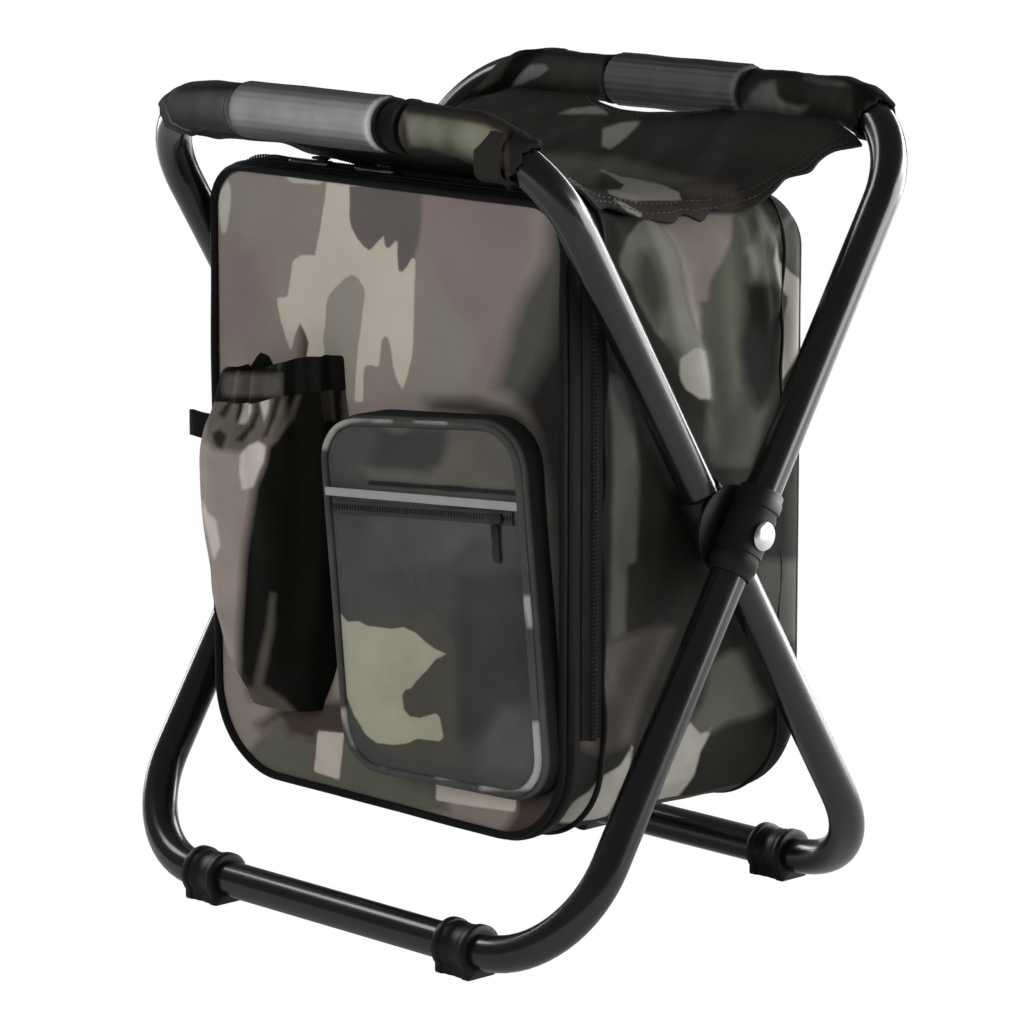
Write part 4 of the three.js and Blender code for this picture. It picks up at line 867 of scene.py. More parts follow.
def grip(name, body, x_low, x_high, material, slot, ribs, seed):
    """A foam tube round a top bar with rounded ends, fine ribs and a slightly uneven skin."""
    bar = on_hoop(body, 0, HOOP_HALF_HEIGHT)
    turn = np.arange(GRIP_SIDES) * (2 * np.pi / GRIP_SIDES)
    places = [(x_low, TUBE_RADIUS + 0.2)]
    for share in np.linspace(0, 1, 6):
        angle = share * np.pi / 2
        radius = GRIP_RADIUS - GRIP_END * (1 - math.cos(angle))
        places.append((x_low + GRIP_END * (1 - math.sin(angle)), radius))
    places = places[:1] + sorted(places[1:])
    middle = [(x, GRIP_RADIUS) for x in np.linspace(x_low + GRIP_END, x_high - GRIP_END, 34)[1:-1]]
    places = places + middle + [(x_low + x_high - x, radius) for x, radius in reversed(places)]
    rings = []
    for x, radius in places:
        full = radius + ribs * 0.5 * RIB_HEIGHT * (np.cos(turn * RIB_COUNT) - 1)
        rings.append(points_at(x, bar[1] + full * np.cos(turn), bar[2] + full * np.sin(turn)))
    rings = np.array(rings)
    inside = np.array([radius > TUBE_RADIUS + 1 for _, radius in places])[:, None]
    dent = -0.35 * (0.5 + 0.5 * ripple(rings, 26.0, seed)) * inside
    away = rings - np.array([0.0, bar[1], bar[2]])
    away[:, :, 0] = 0.0
    rings = rings + away / GRIP_RADIUS * dent[:, :, None]
    return settled(loft(name + "_foam", rings, material), body, slot, name)


grip("front_grip", "inner_frame", -60.0, 41.0, front_foam, "grey_grip_foam", 0.4, 3)
grip("rear_grip", "outer_frame", -44.0, 48.0, rear_foam, "dark_grip_foam", 1.0, 4)

band_steps = [
    (42.5, 9.4), (42.5, 12.6), (43.0, 13.3), (45.4, 13.3), (45.8, 12.4), (47.0, 12.2), (50.5, 12.6),
    (54.0, 12.2), (55.2, 12.4), (55.6, 13.3), (58.0, 13.3), (58.5, 12.6), (58.5, 9.4),
]
bar = on_hoop("inner_frame", 0, HOOP_HALF_HEIGHT)
turn = np.arange(BAND_SIDES) * (2 * np.pi / BAND_SIDES)
rings = []
for x, radius in band_steps:
    uneven = radius + (0.25 * np.sin(3 * turn + 0.4 * x) - 0.25) * (radius > 10)
    rings.append(points_at(x, bar[1] + uneven * np.cos(turn), bar[2] + uneven * np.sin(turn)))
settled(loft("front_grip_band_wrap", rings, band_cloth), "inner_frame", "binding", "front_grip_band")
print("grips and band made")

# %% [markdown]
# ## The sleeves round the bent bars
# The seat is sewn into sleeves that were pushed on to the bars before the hoops were closed. Cloth
# round a bend cannot lie flat: it wrinkles inside the bend and flares at its open end. So each
# sleeve is a skin round the hoop's own line. Its radius carries the wrinkles, and its end is cut
# aslant and a little ragged, because the cloth's side edge crosses the bar there.

# %% A sleeve's skin
SLEEVE_RADIUS = 11.3
SLEEVE_SIDES = 64
SEAT_DARK = colour(0.019, 0.0185, 0.0158)
SEAT_PALE = colour(0.155, 0.155, 0.135)


def bar_line(frame_name, side, start_x, travel):
    """Points along a top bar from start_x outward and on round its bend, with their tangents."""
    half = HALF_WIDTH[frame_name]
    straight = (half - TOP_BEND) - side * start_x
    along = np.asarray(travel, float)
    turn = np.maximum(along - straight, 0.0) / TOP_BEND
    across = np.where(turn > 0, half - TOP_BEND + TOP_BEND * np.sin(turn), side * start_x + along)
    up = HOOP_HALF_HEIGHT - TOP_BEND * (1 - np.cos(turn))
    centre = on_hoop(frame_name, side * across, up)
    tangent = on_hoop(frame_name, side * np.cos(turn), -np.sin(turn)) - on_hoop(frame_name, 0, 0)
    outward = on_hoop(frame_name, side * np.sin(turn), np.cos(turn)) - on_hoop(frame_name, 0, 0)
    return centre, tangent, outward


def sleeve(name, frame_name, side, start_x, bend_degrees, slant, flare, seed, material, node):
    """Cloth round a bar: wrinkled, open at both ends, with its outer end aslant and flared."""
    rows, half = 88, HALF_WIDTH[frame_name]
    length = (half - TOP_BEND) - side * start_x + math.radians(bend_degrees) * TOP_BEND
    turn = np.arange(SLEEVE_SIDES) * (2 * np.pi / SLEEVE_SIDES)
    share = np.linspace(0.0, 1.0, rows)[:, None]
    ragged = 0.8 * np.sin(5 * turn + seed) + 0.6 * np.sin(11 * turn + 2 * seed)
    travel = share * (length - slant * 0.5 * (1 + np.cos(turn)) + ragged)[None, :]
    centre, tangent, outward = bar_line(frame_name, side, start_x, travel)
    depth = np.cross(tangent, outward)
    bent = eased(travel, length - math.radians(bend_degrees) * TOP_BEND, length)
    inner_side = 0.5 * (1 - np.cos(turn))[None, :]
    wrinkle = 0.75 * np.sin(travel / 3.6 + 1.2 * np.sin(2 * turn + seed)) * bent * inner_side
    sag = 0.8 * np.exp(-0.5 * ((turn - np.pi) / 0.7) ** 2)[None, :]
    swell = 0.5 + 0.35 * ripple(centre, 34.0, seed) + 0.22 * ripple(centre, 12.0, seed + 50)
    end = eased(share, 0.92, 1.0)
    hem = 0.7 * (eased(share, 0.86, 0.87) - eased(share, 0.985, 1.0))
    hem = hem + 0.5 * (1 - eased(share, 0.03, 0.045))
    wide_end = flare * end * (0.6 + 0.4 * np.sin(3 * turn + seed))
    start_tuck = 1.2 * (1 - eased(share, 0.0, 0.012))
    radius = SLEEVE_RADIUS + swell + wrinkle + sag + hem + wide_end - start_tuck
    around = np.cos(turn)[None, :, None] * outward + np.sin(turn)[None, :, None] * depth
    outer = centre + radius[:, :, None] * around
    inner = centre + np.maximum(radius[:, :, None] - 1.6, TUBE_RADIUS + 0.2) * around
    made = loft(name, np.concatenate([outer, inner[::-1]]), material, ends="joined")
    return settled(made, frame_name, "seat_cloth", node)


# %% The cloth of the sleeves
HEM_BLACK = colour(0.004, 0.004, 0.003)
PALE_NOISE = [(SEAT_PALE, 0.63, 14.0)]
SLEEVES = {
    # where, (side, start, bend, slant, flare, seed), cloth, noise, noise seed, patches
    "rear_left": (
        "outer_frame", (-1, -45.5, 44.0, 54.0, 0.4, 1), colour(0.034, 0.034, 0.030), PALE_NOISE, 2.2, {
        "sleeve_plain": (colour(0.036, 0.036, 0.031), 1.0, [[440,30, 640,30, 640,140, 440,140]]),
        # On this sleeve the pale streak is a painted highlight.
        "sleeve_pale_and_highlight": (colour(0.20, 0.20, 0.19), 0.8, [
            [510,88, 517,74, 531,65, 545,64, 549,69, 540,76, 526,82],
        ]),
        "sleeve_hem_and_shade": (HEM_BLACK, 1.0, [
            [544,40, 530,46, 512,58, 499,80, 455,104, 470,116, 503,96, 516,80, 529,63, 544,53],
            [604,50, 625,50, 625,110, 604,110],
        ]),
    }),
    "rear_right": (
        "outer_frame", (1, 49.5, 34.0, 2.0, 0.3, 2), colour(0.022, 0.022, 0.019), PALE_NOISE, 3.2, {
        "sleeve_plain": (colour(0.020, 0.020, 0.017), 1.0, [[700,50, 920,50, 920,150, 700,150]]),
        "sleeve_pale_and_highlight": (colour(0.12, 0.12, 0.112), 1.5, [
            [751,92, 762,82, 775,80, 777,94, 782,100, 797,106, 808,106, 804,113, 793,118, 778,117, 760,114,
             741,111], [803,72, 820,76, 842,81, 850,86, 820,84, 805,79],
        ]),
        "sleeve_dark": (colour(0.014, 0.014, 0.011), 1.5, [
            [779,88, 790,83, 806,86, 808,98, 800,104, 786,102, 778,96],
        ]),
        "sleeve_hem_and_shade": (HEM_BLACK, 1.5, [
            [735,55, 753,60, 752,76, 741,94, 730,112, 712,112, 728,88, 733,70],
            [856,78, 868,80, 886,92, 892,106, 880,112, 868,102, 862,122, 858,140, 846,138, 852,112, 852,92],
        ]),
    }),
    "front_left": ("inner_frame", (-1, -61.5, 27.0, -5.0, 0.4, 3), colour(0.095, 0.095, 0.092), [], 5.0, {
        "sleeve_pale_and_highlight": (colour(0.15, 0.15, 0.145), 2.0, [
            [221,100, 232,98, 238,110, 234,128, 224,130, 228,116],
        ]),
        "sleeve_hem_and_shade": (colour(0.016, 0.016, 0.015), 1.5, [
            [236,78, 262,78, 262,140, 244,140, 246,120, 242,100, 234,92],
            [160,76, 176,76, 178,92, 240,90, 240,84, 178,84],
        ]),
    }),
    "front_right": ("inner_frame", (1, 60.0, 48.0, 4.0, 1.2, 4), colour(0.045, 0.039, 0.030), [], 8.0, {
        "sleeve_pale_and_highlight": (colour(0.165, 0.165, 0.125), 1.2, [
            [404,112, 430,116, 484,125, 500,132, 500,170, 484,165, 452,156, 427,148, 409,147],
        ]),
        # On this sleeve the first outline is painted shade where the sleeve turns round the bend past the
        # tab.
        "sleeve_hem_and_shade": (colour(0.012, 0.011, 0.010), 1.5, [
            [508,110, 560,110, 560,200, 508,200], [380,80, 404,82, 404,100, 380,98],
        ]),
    }),
}
for word, (body, shape, base, layers, noise_seed, patches) in SLEEVES.items():
    noise = [(tint, level, scale, noise_seed + k) for k, (tint, level, scale) in enumerate(layers)]
    # The sleeves get painted shade on the rims that turn away from the eye (edge 0.25).
    cloth = printed_and_painted_cloth(
        word + "_sleeve_camouflage", base, patches, noise=noise, spread=0.22, clouds=40.0, edge=0.25,
    )
    made = sleeve(word + "_sleeve", body, *shape, cloth, "seat_sleeve_" + word)
    paint_seen(made, patches)
print("sleeves made")

# %% [markdown]
# ## The seat cloth
# One sheet hangs between the bars and rests on the bag. It is cut away round each grip so that a
# hand can go in. Beside the bag it is free, so its side hems sag and pucker. The sheet is a grid
# whose ends follow the slots. That keeps the weave and the hems running along the cut edges, which
# a hole cut by a boolean would not do.

# %% The seat's middle surface
SEAT_HALF = {"rear": 136.0, "middle": 121.0, "front": 116.0}
SEAT_LINE = [
    (109.9, 390.7), (86.0, 382.9), (64.0, 371.1), (34.0, 363.0), (0.0, 362.7), (-36.0, 364.7),
    (-70.0, 376.7), (-109.9, 390.7),
]
SEAT_SLOTS = {"rear": (-8.0, 50.0), "front": (-1.5, 73.0)}
SLOT_DEPTH = 23.0
SEAT_COLUMNS, SEAT_ROWS = 190, 130
SEAT_END_Y = 109.9
BAG_SIDE, BAG_TOP_BEND = 127.0, 24.0
CORNER_LEAD = 2.5

seat_curve = curve_through(SEAT_LINE, 400)


def seat_end(x, word):
    """How far from the middle, in y, the cloth reaches at this x: less where a hand slot is cut."""
    middle, half = SEAT_SLOTS[word]
    inside = np.clip(1.0 - ((x - middle) / half) ** 2, 0.0, None)
    return np.minimum(SEAT_END_Y, BAR_Y - SLOT_DEPTH * np.sqrt(inside))


def seat_surface(u, v):
    """Points of the seat's middle surface; u runs from side to side, v from the rear to the front."""
    nearness = np.abs(2 * v - 1)
    end = np.where(v < 0.5, SEAT_HALF["rear"], SEAT_HALF["front"])
    half = SEAT_HALF["middle"] + (end - SEAT_HALF["middle"]) * nearness**2
    x = u * half
    rear, front = seat_end(x, "rear"), -seat_end(x, "front")
    y = rear + (front - rear) * v
    z = np.interp(-y, -seat_curve[:, 0], seat_curve[:, 1])
    bar_half = np.where(y > 0, HALF_WIDTH["outer_frame"], HALF_WIDTH["inner_frame"])
    past = np.clip(np.abs(x) + CORNER_LEAD - (bar_half - TOP_BEND), 0.0, TOP_BEND - 1.0)
    drop = (TOP_BEND - np.sqrt(TOP_BEND**2 - past**2)) * np.abs(y / SEAT_END_Y) ** 3
    z = z - drop * math.cos(LEG_ANGLE)
    y = y - np.sign(y) * drop * math.sin(LEG_ANGLE)
    return x, y, z


share_u = np.linspace(-1.0, 1.0, SEAT_COLUMNS)
share_v = np.linspace(0.0, 1.0, SEAT_ROWS)
u, v = np.meshgrid(share_u, share_v, indexing="ij")
x, y, z = seat_surface(u, v)
flat = np.stack([x, y], -1).reshape(-1, 2)
slack = eased(1 - np.abs(y / SEAT_END_Y), 0.0, 0.3)
waves = (0.9 * ripple(flat, 60.0, 61) + 0.5 * ripple(flat, 22.0, 62)).reshape(x.shape)
z = z + waves * slack * 0.8 + 0.6 * slack
pucker = np.sin(y / 4.2 + 1.1 * np.sin(y / 17.0)) * eased(np.abs(u), 0.90, 1.0)
pucker = pucker * slack * np.where(u > 0, 1.0, 0.4)
wavy_hem = 1.8 * np.abs(u) ** 30 * np.sin(y / 5.3 + 1.7 * np.sin(y / 11.0))
x = x + np.sign(u) * slack * (1.5 * np.abs(u) ** 8 + wavy_hem)
over_edge = np.clip(x - (BAG_SIDE - BAG_TOP_BEND), 0.0, BAG_TOP_BEND - 1.0)
on_bag = (1 - eased(y, 20.0, 58.0)) * eased(y, -100.0, -60.0)
z = z - (BAG_TOP_BEND - np.sqrt(BAG_TOP_BEND**2 - over_edge**2)) * on_bag + 0.9 * pucker
rear_droop = 5.0 * eased(u, 0.65, 1.0) * np.exp(-0.5 * ((y - 76.0) / 19.0) ** 2)
left_lift = 5.8 * eased(-x, 60.0, 108.0) * np.exp(-0.5 * ((y + 45.0) / 16.0) ** 2)
z = z - rear_droop + left_lift
SEAT_FOLDS = [
    ([(-60, 96), (-84, 60), (-98, 10)], 7.0, 1.7), ([(70, 98), (90, 62), (104, 8)], 7.0, 1.9),
    ([(64, -94), (88, -66), (104, -20)], 6.0, 1.6), ([(-70, -92), (-92, -58), (-102, -10)], 6.0, 1.6),
    ([(-20, 92), (-36, 66), (-44, 30)], 5.0, 1.0), ([(26, 92), (46, 64), (52, 24)], 5.0, 1.2),
]
for path, width, height in SEAT_FOLDS:
    z = z + ridge(flat, path, width, height).reshape(x.shape)
from_side = (1 - np.abs(u)) * SEAT_HALF["middle"]
rear_gap = np.abs(seat_end(x, "rear") - y)
front_gap = np.abs(-seat_end(x, "front") - y)
slot_here = {word: np.abs(x - middle) < half for word, (middle, half) in SEAT_SLOTS.items()}
hem = 0.8 * (1 - eased(from_side, 7.0, 8.0))
hem = np.maximum(hem, 0.7 * (1 - eased(rear_gap, 6.0, 7.0)) * slot_here["rear"])
hem = np.maximum(hem, 0.7 * (1 - eased(front_gap, 6.0, 7.0)) * slot_here["front"])
grid = np.stack([x, y, z + 0.5 * hem], -1)
print("seat surface", grid.shape, "lowest", round(float(z.min()), 1), "highest", round(float(z.max()), 1))

# %% The seat's print and its piece
SEAT_PATCHES = {
    "seat_green": (colour(0.075, 0.075, 0.060), 3.0, [
        [545,154, 584,156, 627,160, 660,171, 694,180, 682,186, 660,185, 640,183, 620,178, 602,174, 590,186,
         570,186, 552,176],
    ]),
    "seat_brown": (colour(0.055, 0.046, 0.042), 3.0, [
        [676,186, 694,180, 735,186, 738,199, 690,200, 682,194],
    ]),
    "seat_low": (colour(0.040, 0.031, 0.026), 1.5, [
        [612,199, 640,200, 740,199, 742,220, 680,224, 648,220, 630,212],
    ]),
    "seat_pale": (colour(0.17, 0.17, 0.155), 0.8, [
        [558,114, 574,108, 596,106, 604,110, 608,114, 584,114],
        [603,129, 622,123, 642,121, 627,136, 620,143, 610,150, 602,146],
    ]),
    "seat_beige": (colour(0.25, 0.24, 0.20), 0.5, [
        [601,170, 612,177, 624,184, 621,189, 607,190, 609,194, 620,198, 636,201, 682,200, 679,193, 660,184,
         641,180, 624,177], [612,199, 622,202, 643,214, 640,217, 628,211],
    ]),
    "seat_dark": (colour(0.006, 0.006, 0.005), 2.0, [
        [690,108, 735,104, 735,116, 700,120, 640,124, 640,116, 680,116],
    ]),
}
seat_cloth = printed_and_painted_cloth("seat_camouflage", SEAT_DARK, SEAT_PATCHES, spread=0.2, clouds=26.0)
seat = thick_sheet("seat_cloth", grid, 1.5, seat_cloth)
paint_seen(seat, SEAT_PATCHES)
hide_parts("seat_panel")
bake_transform(seat)

# %% [markdown]
# ## Stitches of the seat
# Two rows of stitches hold each side hem and one row each slot's edge. A stitch is a short rounded
# bar. Like the zip's teeth they repeat, so Geometry Nodes sets them along a line on the cloth, and
# the result becomes a plain mesh that lies on the seat.


# %% Geometry Nodes that repeat a small shape along a line
def repeated(name, line, unit, pitch, material, normal, jitter=0.0, seed=0):
    """Copies of a small mesh along a line, facing a normal, made by Geometry Nodes."""
    curve = bpy.data.curves.new(name + "_line", "CURVE")
    curve.dimensions = "3D"
    spline = curve.splines.new("POLY")
    spline.points.add(len(line) - 1)
    for point, place in zip(spline.points, np.asarray(line, float) * MM):
        point.co = (*place, 1.0)
    carrier = bpy.data.objects.new(name + "_carrier", curve)
    source = bpy.data.objects.new(name + "_unit", unit)
    for part in (carrier, source):
        bpy.context.collection.objects.link(part)
    tree = bpy.data.node_groups.new(name + "_nodes", "GeometryNodeTree")
    sockets = {"Line": "NodeSocketGeometry", "Pitch": FLOAT, "Unit": "NodeSocketObject", "Jitter": FLOAT}
    for label, kind in sockets.items():
        tree.interface.new_socket(label, in_out="INPUT", socket_type=kind)
    tree.interface.new_socket("Geometry", in_out="OUTPUT", socket_type="NodeSocketGeometry")
    entry = add_node(tree, "NodeGroupInput")
    spread = {"Curve": entry.outputs["Line"], "Length": entry.outputs["Pitch"]}
    points = add_node(tree, "GeometryNodeCurveToPoints", spread, mode="LENGTH")
    chosen = add_node(tree, "GeometryNodeObjectInfo", {"Object": entry.outputs["Unit"]})
    facing = add_node(tree, "FunctionNodeAlignEulerToVector", {"Vector": points.outputs["Tangent"]}, axis="X")
    toward = {"Rotation": facing.outputs[0], "Vector": tuple(normal)}
    upward = add_node(tree, "FunctionNodeAlignEulerToVector", toward, axis="Z", pivot_axis="X")
    chance = add_node(tree, "FunctionNodeRandomValue", {2: -1.0, 3: 1.0, "Seed": seed}, data_type="FLOAT")
    swing = calculate(tree, "MULTIPLY", chance.outputs[1], entry.outputs["Jitter"])
    turn = add_node(tree, "ShaderNodeCombineXYZ", {"Z": swing})
    turned_by = {"Rotation": upward.outputs[0], "Rotate By": turn.outputs[0]}
    spun = add_node(tree, "FunctionNodeRotateEuler", turned_by, space="LOCAL")
    placed = {
        "Points": points.outputs["Points"], "Instance": chosen.outputs["Geometry"],
        "Rotation": spun.outputs[0],
    }
    copies = add_node(tree, "GeometryNodeInstanceOnPoints", placed)
    real = add_node(tree, "GeometryNodeRealizeInstances", {"Geometry": copies.outputs["Instances"]})
    dressed = add_node(tree, "GeometryNodeSetMaterial", {"Geometry": real.outputs[0], "Material": material})
    leave = add_node(tree, "NodeGroupOutput")
    tree.links.new(dressed.outputs[0], leave.inputs[0])
    modifier = carrier.modifiers.new(name, "NODES")
    modifier.node_group = tree
    inputs = {s.name: s.identifier for s in tree.interface.items_tree if s.in_out == "INPUT"}
    modifier[inputs["Pitch"]] = float(pitch * MM)
    modifier[inputs["Unit"]] = source
    modifier[inputs["Jitter"]] = float(jitter)
    graph = bpy.context.evaluated_depsgraph_get()
    mesh = bpy.data.meshes.new_from_object(carrier.evaluated_get(graph))
    mesh.name = name
    made = bpy.data.objects.new(name, mesh)
    bpy.context.collection.objects.link(made)
    for spare in (carrier, source):
        bpy.data.objects.remove(spare)
    bpy.data.node_groups.remove(tree)
    print(name, "has", len(mesh.polygons), "faces")
    return made


def small_block(name, length, width, height, bevel):
    """A tiny rounded block in millimetres, centred, lying along X."""
    a, b, c = length / 2, width / 2, height / 2
    rings = []
    for x, shrink in ((-a, bevel), (bevel - a, 0.0), (a - bevel, 0.0), (a, bevel)):
        w, h, cut = b - shrink, c - shrink, bevel
        rings.append([
            (x, w, h - cut), (x, w - cut, h), (x, cut - w, h), (x, -w, h - cut),
            (x, -w, cut - h), (x, cut - w, -h), (x, w - cut, -h), (x, w, cut - h),
        ])
    made = loft(name, np.array(rings), thread)
    mesh = made.data
    bpy.data.objects.remove(made)
    return mesh


# %% Stitch rows on the seat's hems
STITCH_PITCH = 3.4
SEAT_TOP_OFFSET = 1.05


def seat_line(u_values, v_values):
    """A line on the seat's upper face, read off the finished grid."""
    i = np.interp(u_values, share_u, np.arange(SEAT_COLUMNS))
    j = np.interp(v_values, share_v, np.arange(SEAT_ROWS))
    i0, j0 = np.floor(i).astype(int).clip(0, SEAT_COLUMNS - 2), np.floor(j).astype(int).clip(0, SEAT_ROWS - 2)
    a, b = (i - i0)[:, None], (j - j0)[:, None]
    near = grid[i0, j0] * (1 - a) + grid[i0 + 1, j0] * a
    far = grid[i0, j0 + 1] * (1 - a) + grid[i0 + 1, j0 + 1] * a
    return near * (1 - b) + far * b + np.array([0.0, 0.0, SEAT_TOP_OFFSET])


stitch_rows = []
for side in (-1, 1):
    for inset in (0.016, 0.050):
        stitch_rows.append(seat_line(np.full(160, side * (1 - inset)), np.linspace(0.04, 0.96, 160)))
for word, near_v in (("rear", 0.022), ("front", 0.978)):
    middle, half = SEAT_SLOTS[word]
    reach = SEAT_HALF[word]
    across = np.linspace((middle - half + 4) / reach, (middle + half - 4) / reach, 120)
    stitch_rows.append(seat_line(across, np.full(120, near_v)))
for number, row in enumerate(stitch_rows):
    stitch = small_block(f"stitch_{number}", 2.4, 0.7, 0.55, 0.15)
    made = repeated(f"seat_stitches_{number}", row, stitch, STITCH_PITCH, thread, (0, 0, 1), 0.08, number)
    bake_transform(made)

# %% [markdown]
# ## The hanging tab
# A flat webbing tab hangs from the front bar and holds the bag's front edge. It is cut from one
# strip, so it is one ribbon along a route round the bar and down to the bag.

# %% The tab
TAB_X = 117.0
TAB_HALF = 8.0
TAB_FROM_BAR = SLEEVE_RADIUS + 2.6
bend_past = TAB_X - (HALF_WIDTH["inner_frame"] - TOP_BEND)
bar_drop = TOP_BEND - math.sqrt(TOP_BEND**2 - bend_past**2)
bar_y = -BAR_Y + bar_drop * math.sin(LEG_ANGLE)
bar_z = TOP_BAR_Z - bar_drop * math.cos(LEG_ANGLE)
route = []
for degrees, slack_out in ((-48, 0.0), (-20, 0.0), (10, 0.2), (45, 1.5)):
    turn = math.radians(degrees)
    reach = TAB_FROM_BAR + slack_out
    route.append((TAB_X, bar_y - reach * math.cos(turn), bar_z - reach * math.sin(turn)))
route += [(TAB_X - 0.5, -101.0, 376.5), (TAB_X - 1.0, -90.0, 371.5), (TAB_X - 1.0, -81.0, 369.6)]
route = curve_through(route, 60)
width = np.linspace(-TAB_HALF, TAB_HALF, 15)
tab_grid = route[:, None, :] + points_at(width, 0.0, 0.0)[None]
tab_grid[:, :, 2] += 0.25 * np.cos(width / TAB_HALF * 2.6)[None]
tab = thick_sheet("hanging_tab_webbing", tab_grid, 1.8, webbing)
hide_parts("hanging_tab")
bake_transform(tab)
print("hanging tab made")

# %% [markdown]
# ## The bag's shell
# The cooler hangs like a soft box: stiff foam between cloth and lining keeps its walls up, and the
# cloth outside is a little too large, so it sags and folds. A cloth simulation would give folds
# somewhere; this bag needs them where the photo has them. So rings run from the front rim to the
# back, and drawn ridges push the skin out along the big rolled fold and the small pleats.
# The foam layer is made of the same rings drawn in, so that it stays under the cloth everywhere.

# %% Rings of the shell and its drawn folds
BAG_HALF = 127.0
BAG_LOW = 58.0
BAG_TOP = 361.0
BAG_FRONT_TOP = 368.0
BAG_FRONT = -78.0
BAG_REAR = 78.0
BAG_EDGE = 12.0
TOP_REAR_RADIUS = 22.0
SIDE_STEPS = 400
CLOTH_THICKNESS = 2.0
FOLD_ROOM = 3.0


def shell_ring(y, inset=0.0):
    """The outline of the bag at one depth y, as points of (x, z)."""
    back = max(0.0, y - (BAG_REAR - BAG_EDGE))
    shrink = BAG_EDGE - math.sqrt(max(BAG_EDGE**2 - back**2, 0.0))
    top = BAG_FRONT_TOP - (BAG_FRONT_TOP - BAG_TOP) * float(eased(y, -63.4, -44.0))
    high_back = max(0.0, y - (BAG_REAR - TOP_REAR_RADIUS))
    fall = TOP_REAR_RADIUS - math.sqrt(max(TOP_REAR_RADIUS**2 - high_back**2, 0.0))
    half = BAG_HALF - shrink - inset
    low_corner, top_corner = 46.0 - shrink, 24.0 - 4.0 * float(eased(y, -30.0, 40.0)) - 0.5 * shrink
    low, high = BAG_LOW + shrink + inset, top - fall - inset
    return rounded_loop(half, low, high, low_corner, top_corner, 14, SIDE_STEPS)


SIDE_RIDGES = [
    # path on the side as (y, z), width, height, steepness of the rear flank
    ([(-52, 352), (-38, 354), (-25, 345), (-15, 325), (-8, 301), (-2, 283), (6, 266)], 9.5, 9.0, 0.42),
    ([(-46, 345), (-40, 330), (-31, 306), (-24, 286)], 8.0, 3.6, 1.0),
    ([(28, 351), (31, 336), (35, 318)], 3.0, 3.4, 0.6),
    ([(38, 352), (41, 334), (46, 312), (50, 296)], 3.6, 4.2, 0.6),
    ([(48, 346), (52, 326), (55, 300)], 3.0, 2.8, 0.7),
    ([(12, 350), (16, 320), (20, 280), (24, 250)], 7.0, 2.6, 0.8),
    ([(-56, 235), (-55, 200), (-56, 160)], 4.0, 2.6, 0.7),
    ([(-62, 128), (-30, 132), (4, 124), (40, 128)], 6.0, 2.4, 0.7),
    ([(-58, 88), (-20, 78), (12, 66)], 7.0, 3.0, 0.7),
    ([(-30, 104), (10, 92), (44, 96)], 6.0, 2.2, 0.8),
    ([(8, 232), (12, 204), (20, 170)], 8.0, -2.4, 1.0),
    ([(-40, 236), (-34, 214), (-28, 186)], 7.0, -2.2, 1.0),
]
TOP_RIDGES = [
    ([(-108, -40), (-60, -34), (-10, -38)], 7.0, 1.2, 0.8),
    ([(20, -30), (70, -36), (112, -44)], 6.0, 1.0, 0.8),
]

ROUND_START = BAG_REAR - TOP_REAR_RADIUS
straight_part = np.linspace(BAG_FRONT + 0.6, ROUND_START, 72)
round_part = ROUND_START + TOP_REAR_RADIUS * np.sin(np.linspace(0.05, 1.0, 24) * np.pi / 2)
ys = np.concatenate([[BAG_FRONT], straight_part, round_part])
rings = np.array([np.insert(shell_ring(y), 1, y, axis=1) for y in ys])
outward = np.gradient(rings, axis=1)
outward = np.stack([outward[:, :, 2], np.zeros(outward.shape[:2]), -outward[:, :, 0]], -1)
outward /= np.linalg.norm(outward, axis=2, keepdims=True) + 1e-9
flat = rings.reshape(-1, 3)
on_side = eased(np.abs(flat[:, 0]), BAG_HALF - 14.0, BAG_HALF - 3.0)
push = np.zeros(len(flat))
left_less = np.where(flat[:, 0] > 0, 1.0, 0.7)
for path, width, height, steep in SIDE_RIDGES:
    push += ridge(flat[:, [1, 2]], path, width, height, steep) * on_side * left_less
on_top = eased(flat[:, 2], BAG_TOP - 12.0, BAG_TOP - 2.0)
for path, width, height, steep in TOP_RIDGES:
    push += ridge(flat[:, [0, 1]], path, width, height, steep) * on_top
clear_of_rim = eased(flat[:, 1], -62.0, -50.0) * (1 - eased(flat[:, 1], 60.0, 74.0))
push += (1.3 * ripple(flat, 90.0, 11) + 0.55 * ripple(flat, 34.0, 12)) * clear_of_rim * (1 - 0.8 * on_top)
push *= clear_of_rim * 0.92 + 0.08
push = np.maximum(push, 0.3 - CLOTH_THICKNESS)
# When the stool folds, the inner hoop passes 3.5 mm from the bag's sides, so no fold stands higher.
push = np.where(push > 0, FOLD_ROOM * np.tanh(push / FOLD_ROOM), push)
rings = rings + (push.reshape(rings.shape[:2]))[:, :, None] * outward


def layer_rings(inset, rear, count=10):
    """Plain rings of one layer of the bag from its back to its front rim."""
    depths = np.linspace(rear, BAG_FRONT, count)
    return np.array([np.insert(shell_ring(min(y, 72.0), inset), 1, y, axis=1) for y in depths])


rings = np.concatenate([layer_rings(CLOTH_THICKNESS, BAG_REAR - CLOTH_THICKNESS), rings])
print("deepest fold", round(float(push.max()), 1), "mm, deepest hollow", round(float(push.min()), 1), "mm")

# %% The printed cloth of the shell, its painted shade and highlights, and the foam under it
FOAM_GAP, FOAM_ROWS = 0.6, 30
FOAM_INSIDE, FOAM_REAR = 8.3, 70.5
OLIVE = colour(0.080, 0.082, 0.058)
DEEP = colour(0.012, 0.012, 0.010)
TAN = colour(0.27, 0.265, 0.22)
QUIET_UNTIL = 80.0
BROWN = colour(0.062, 0.052, 0.046)


def on_right_side(points):
    """True for points of the bag's right side."""
    return points[:, 0] > BAG_HALF - 22.0


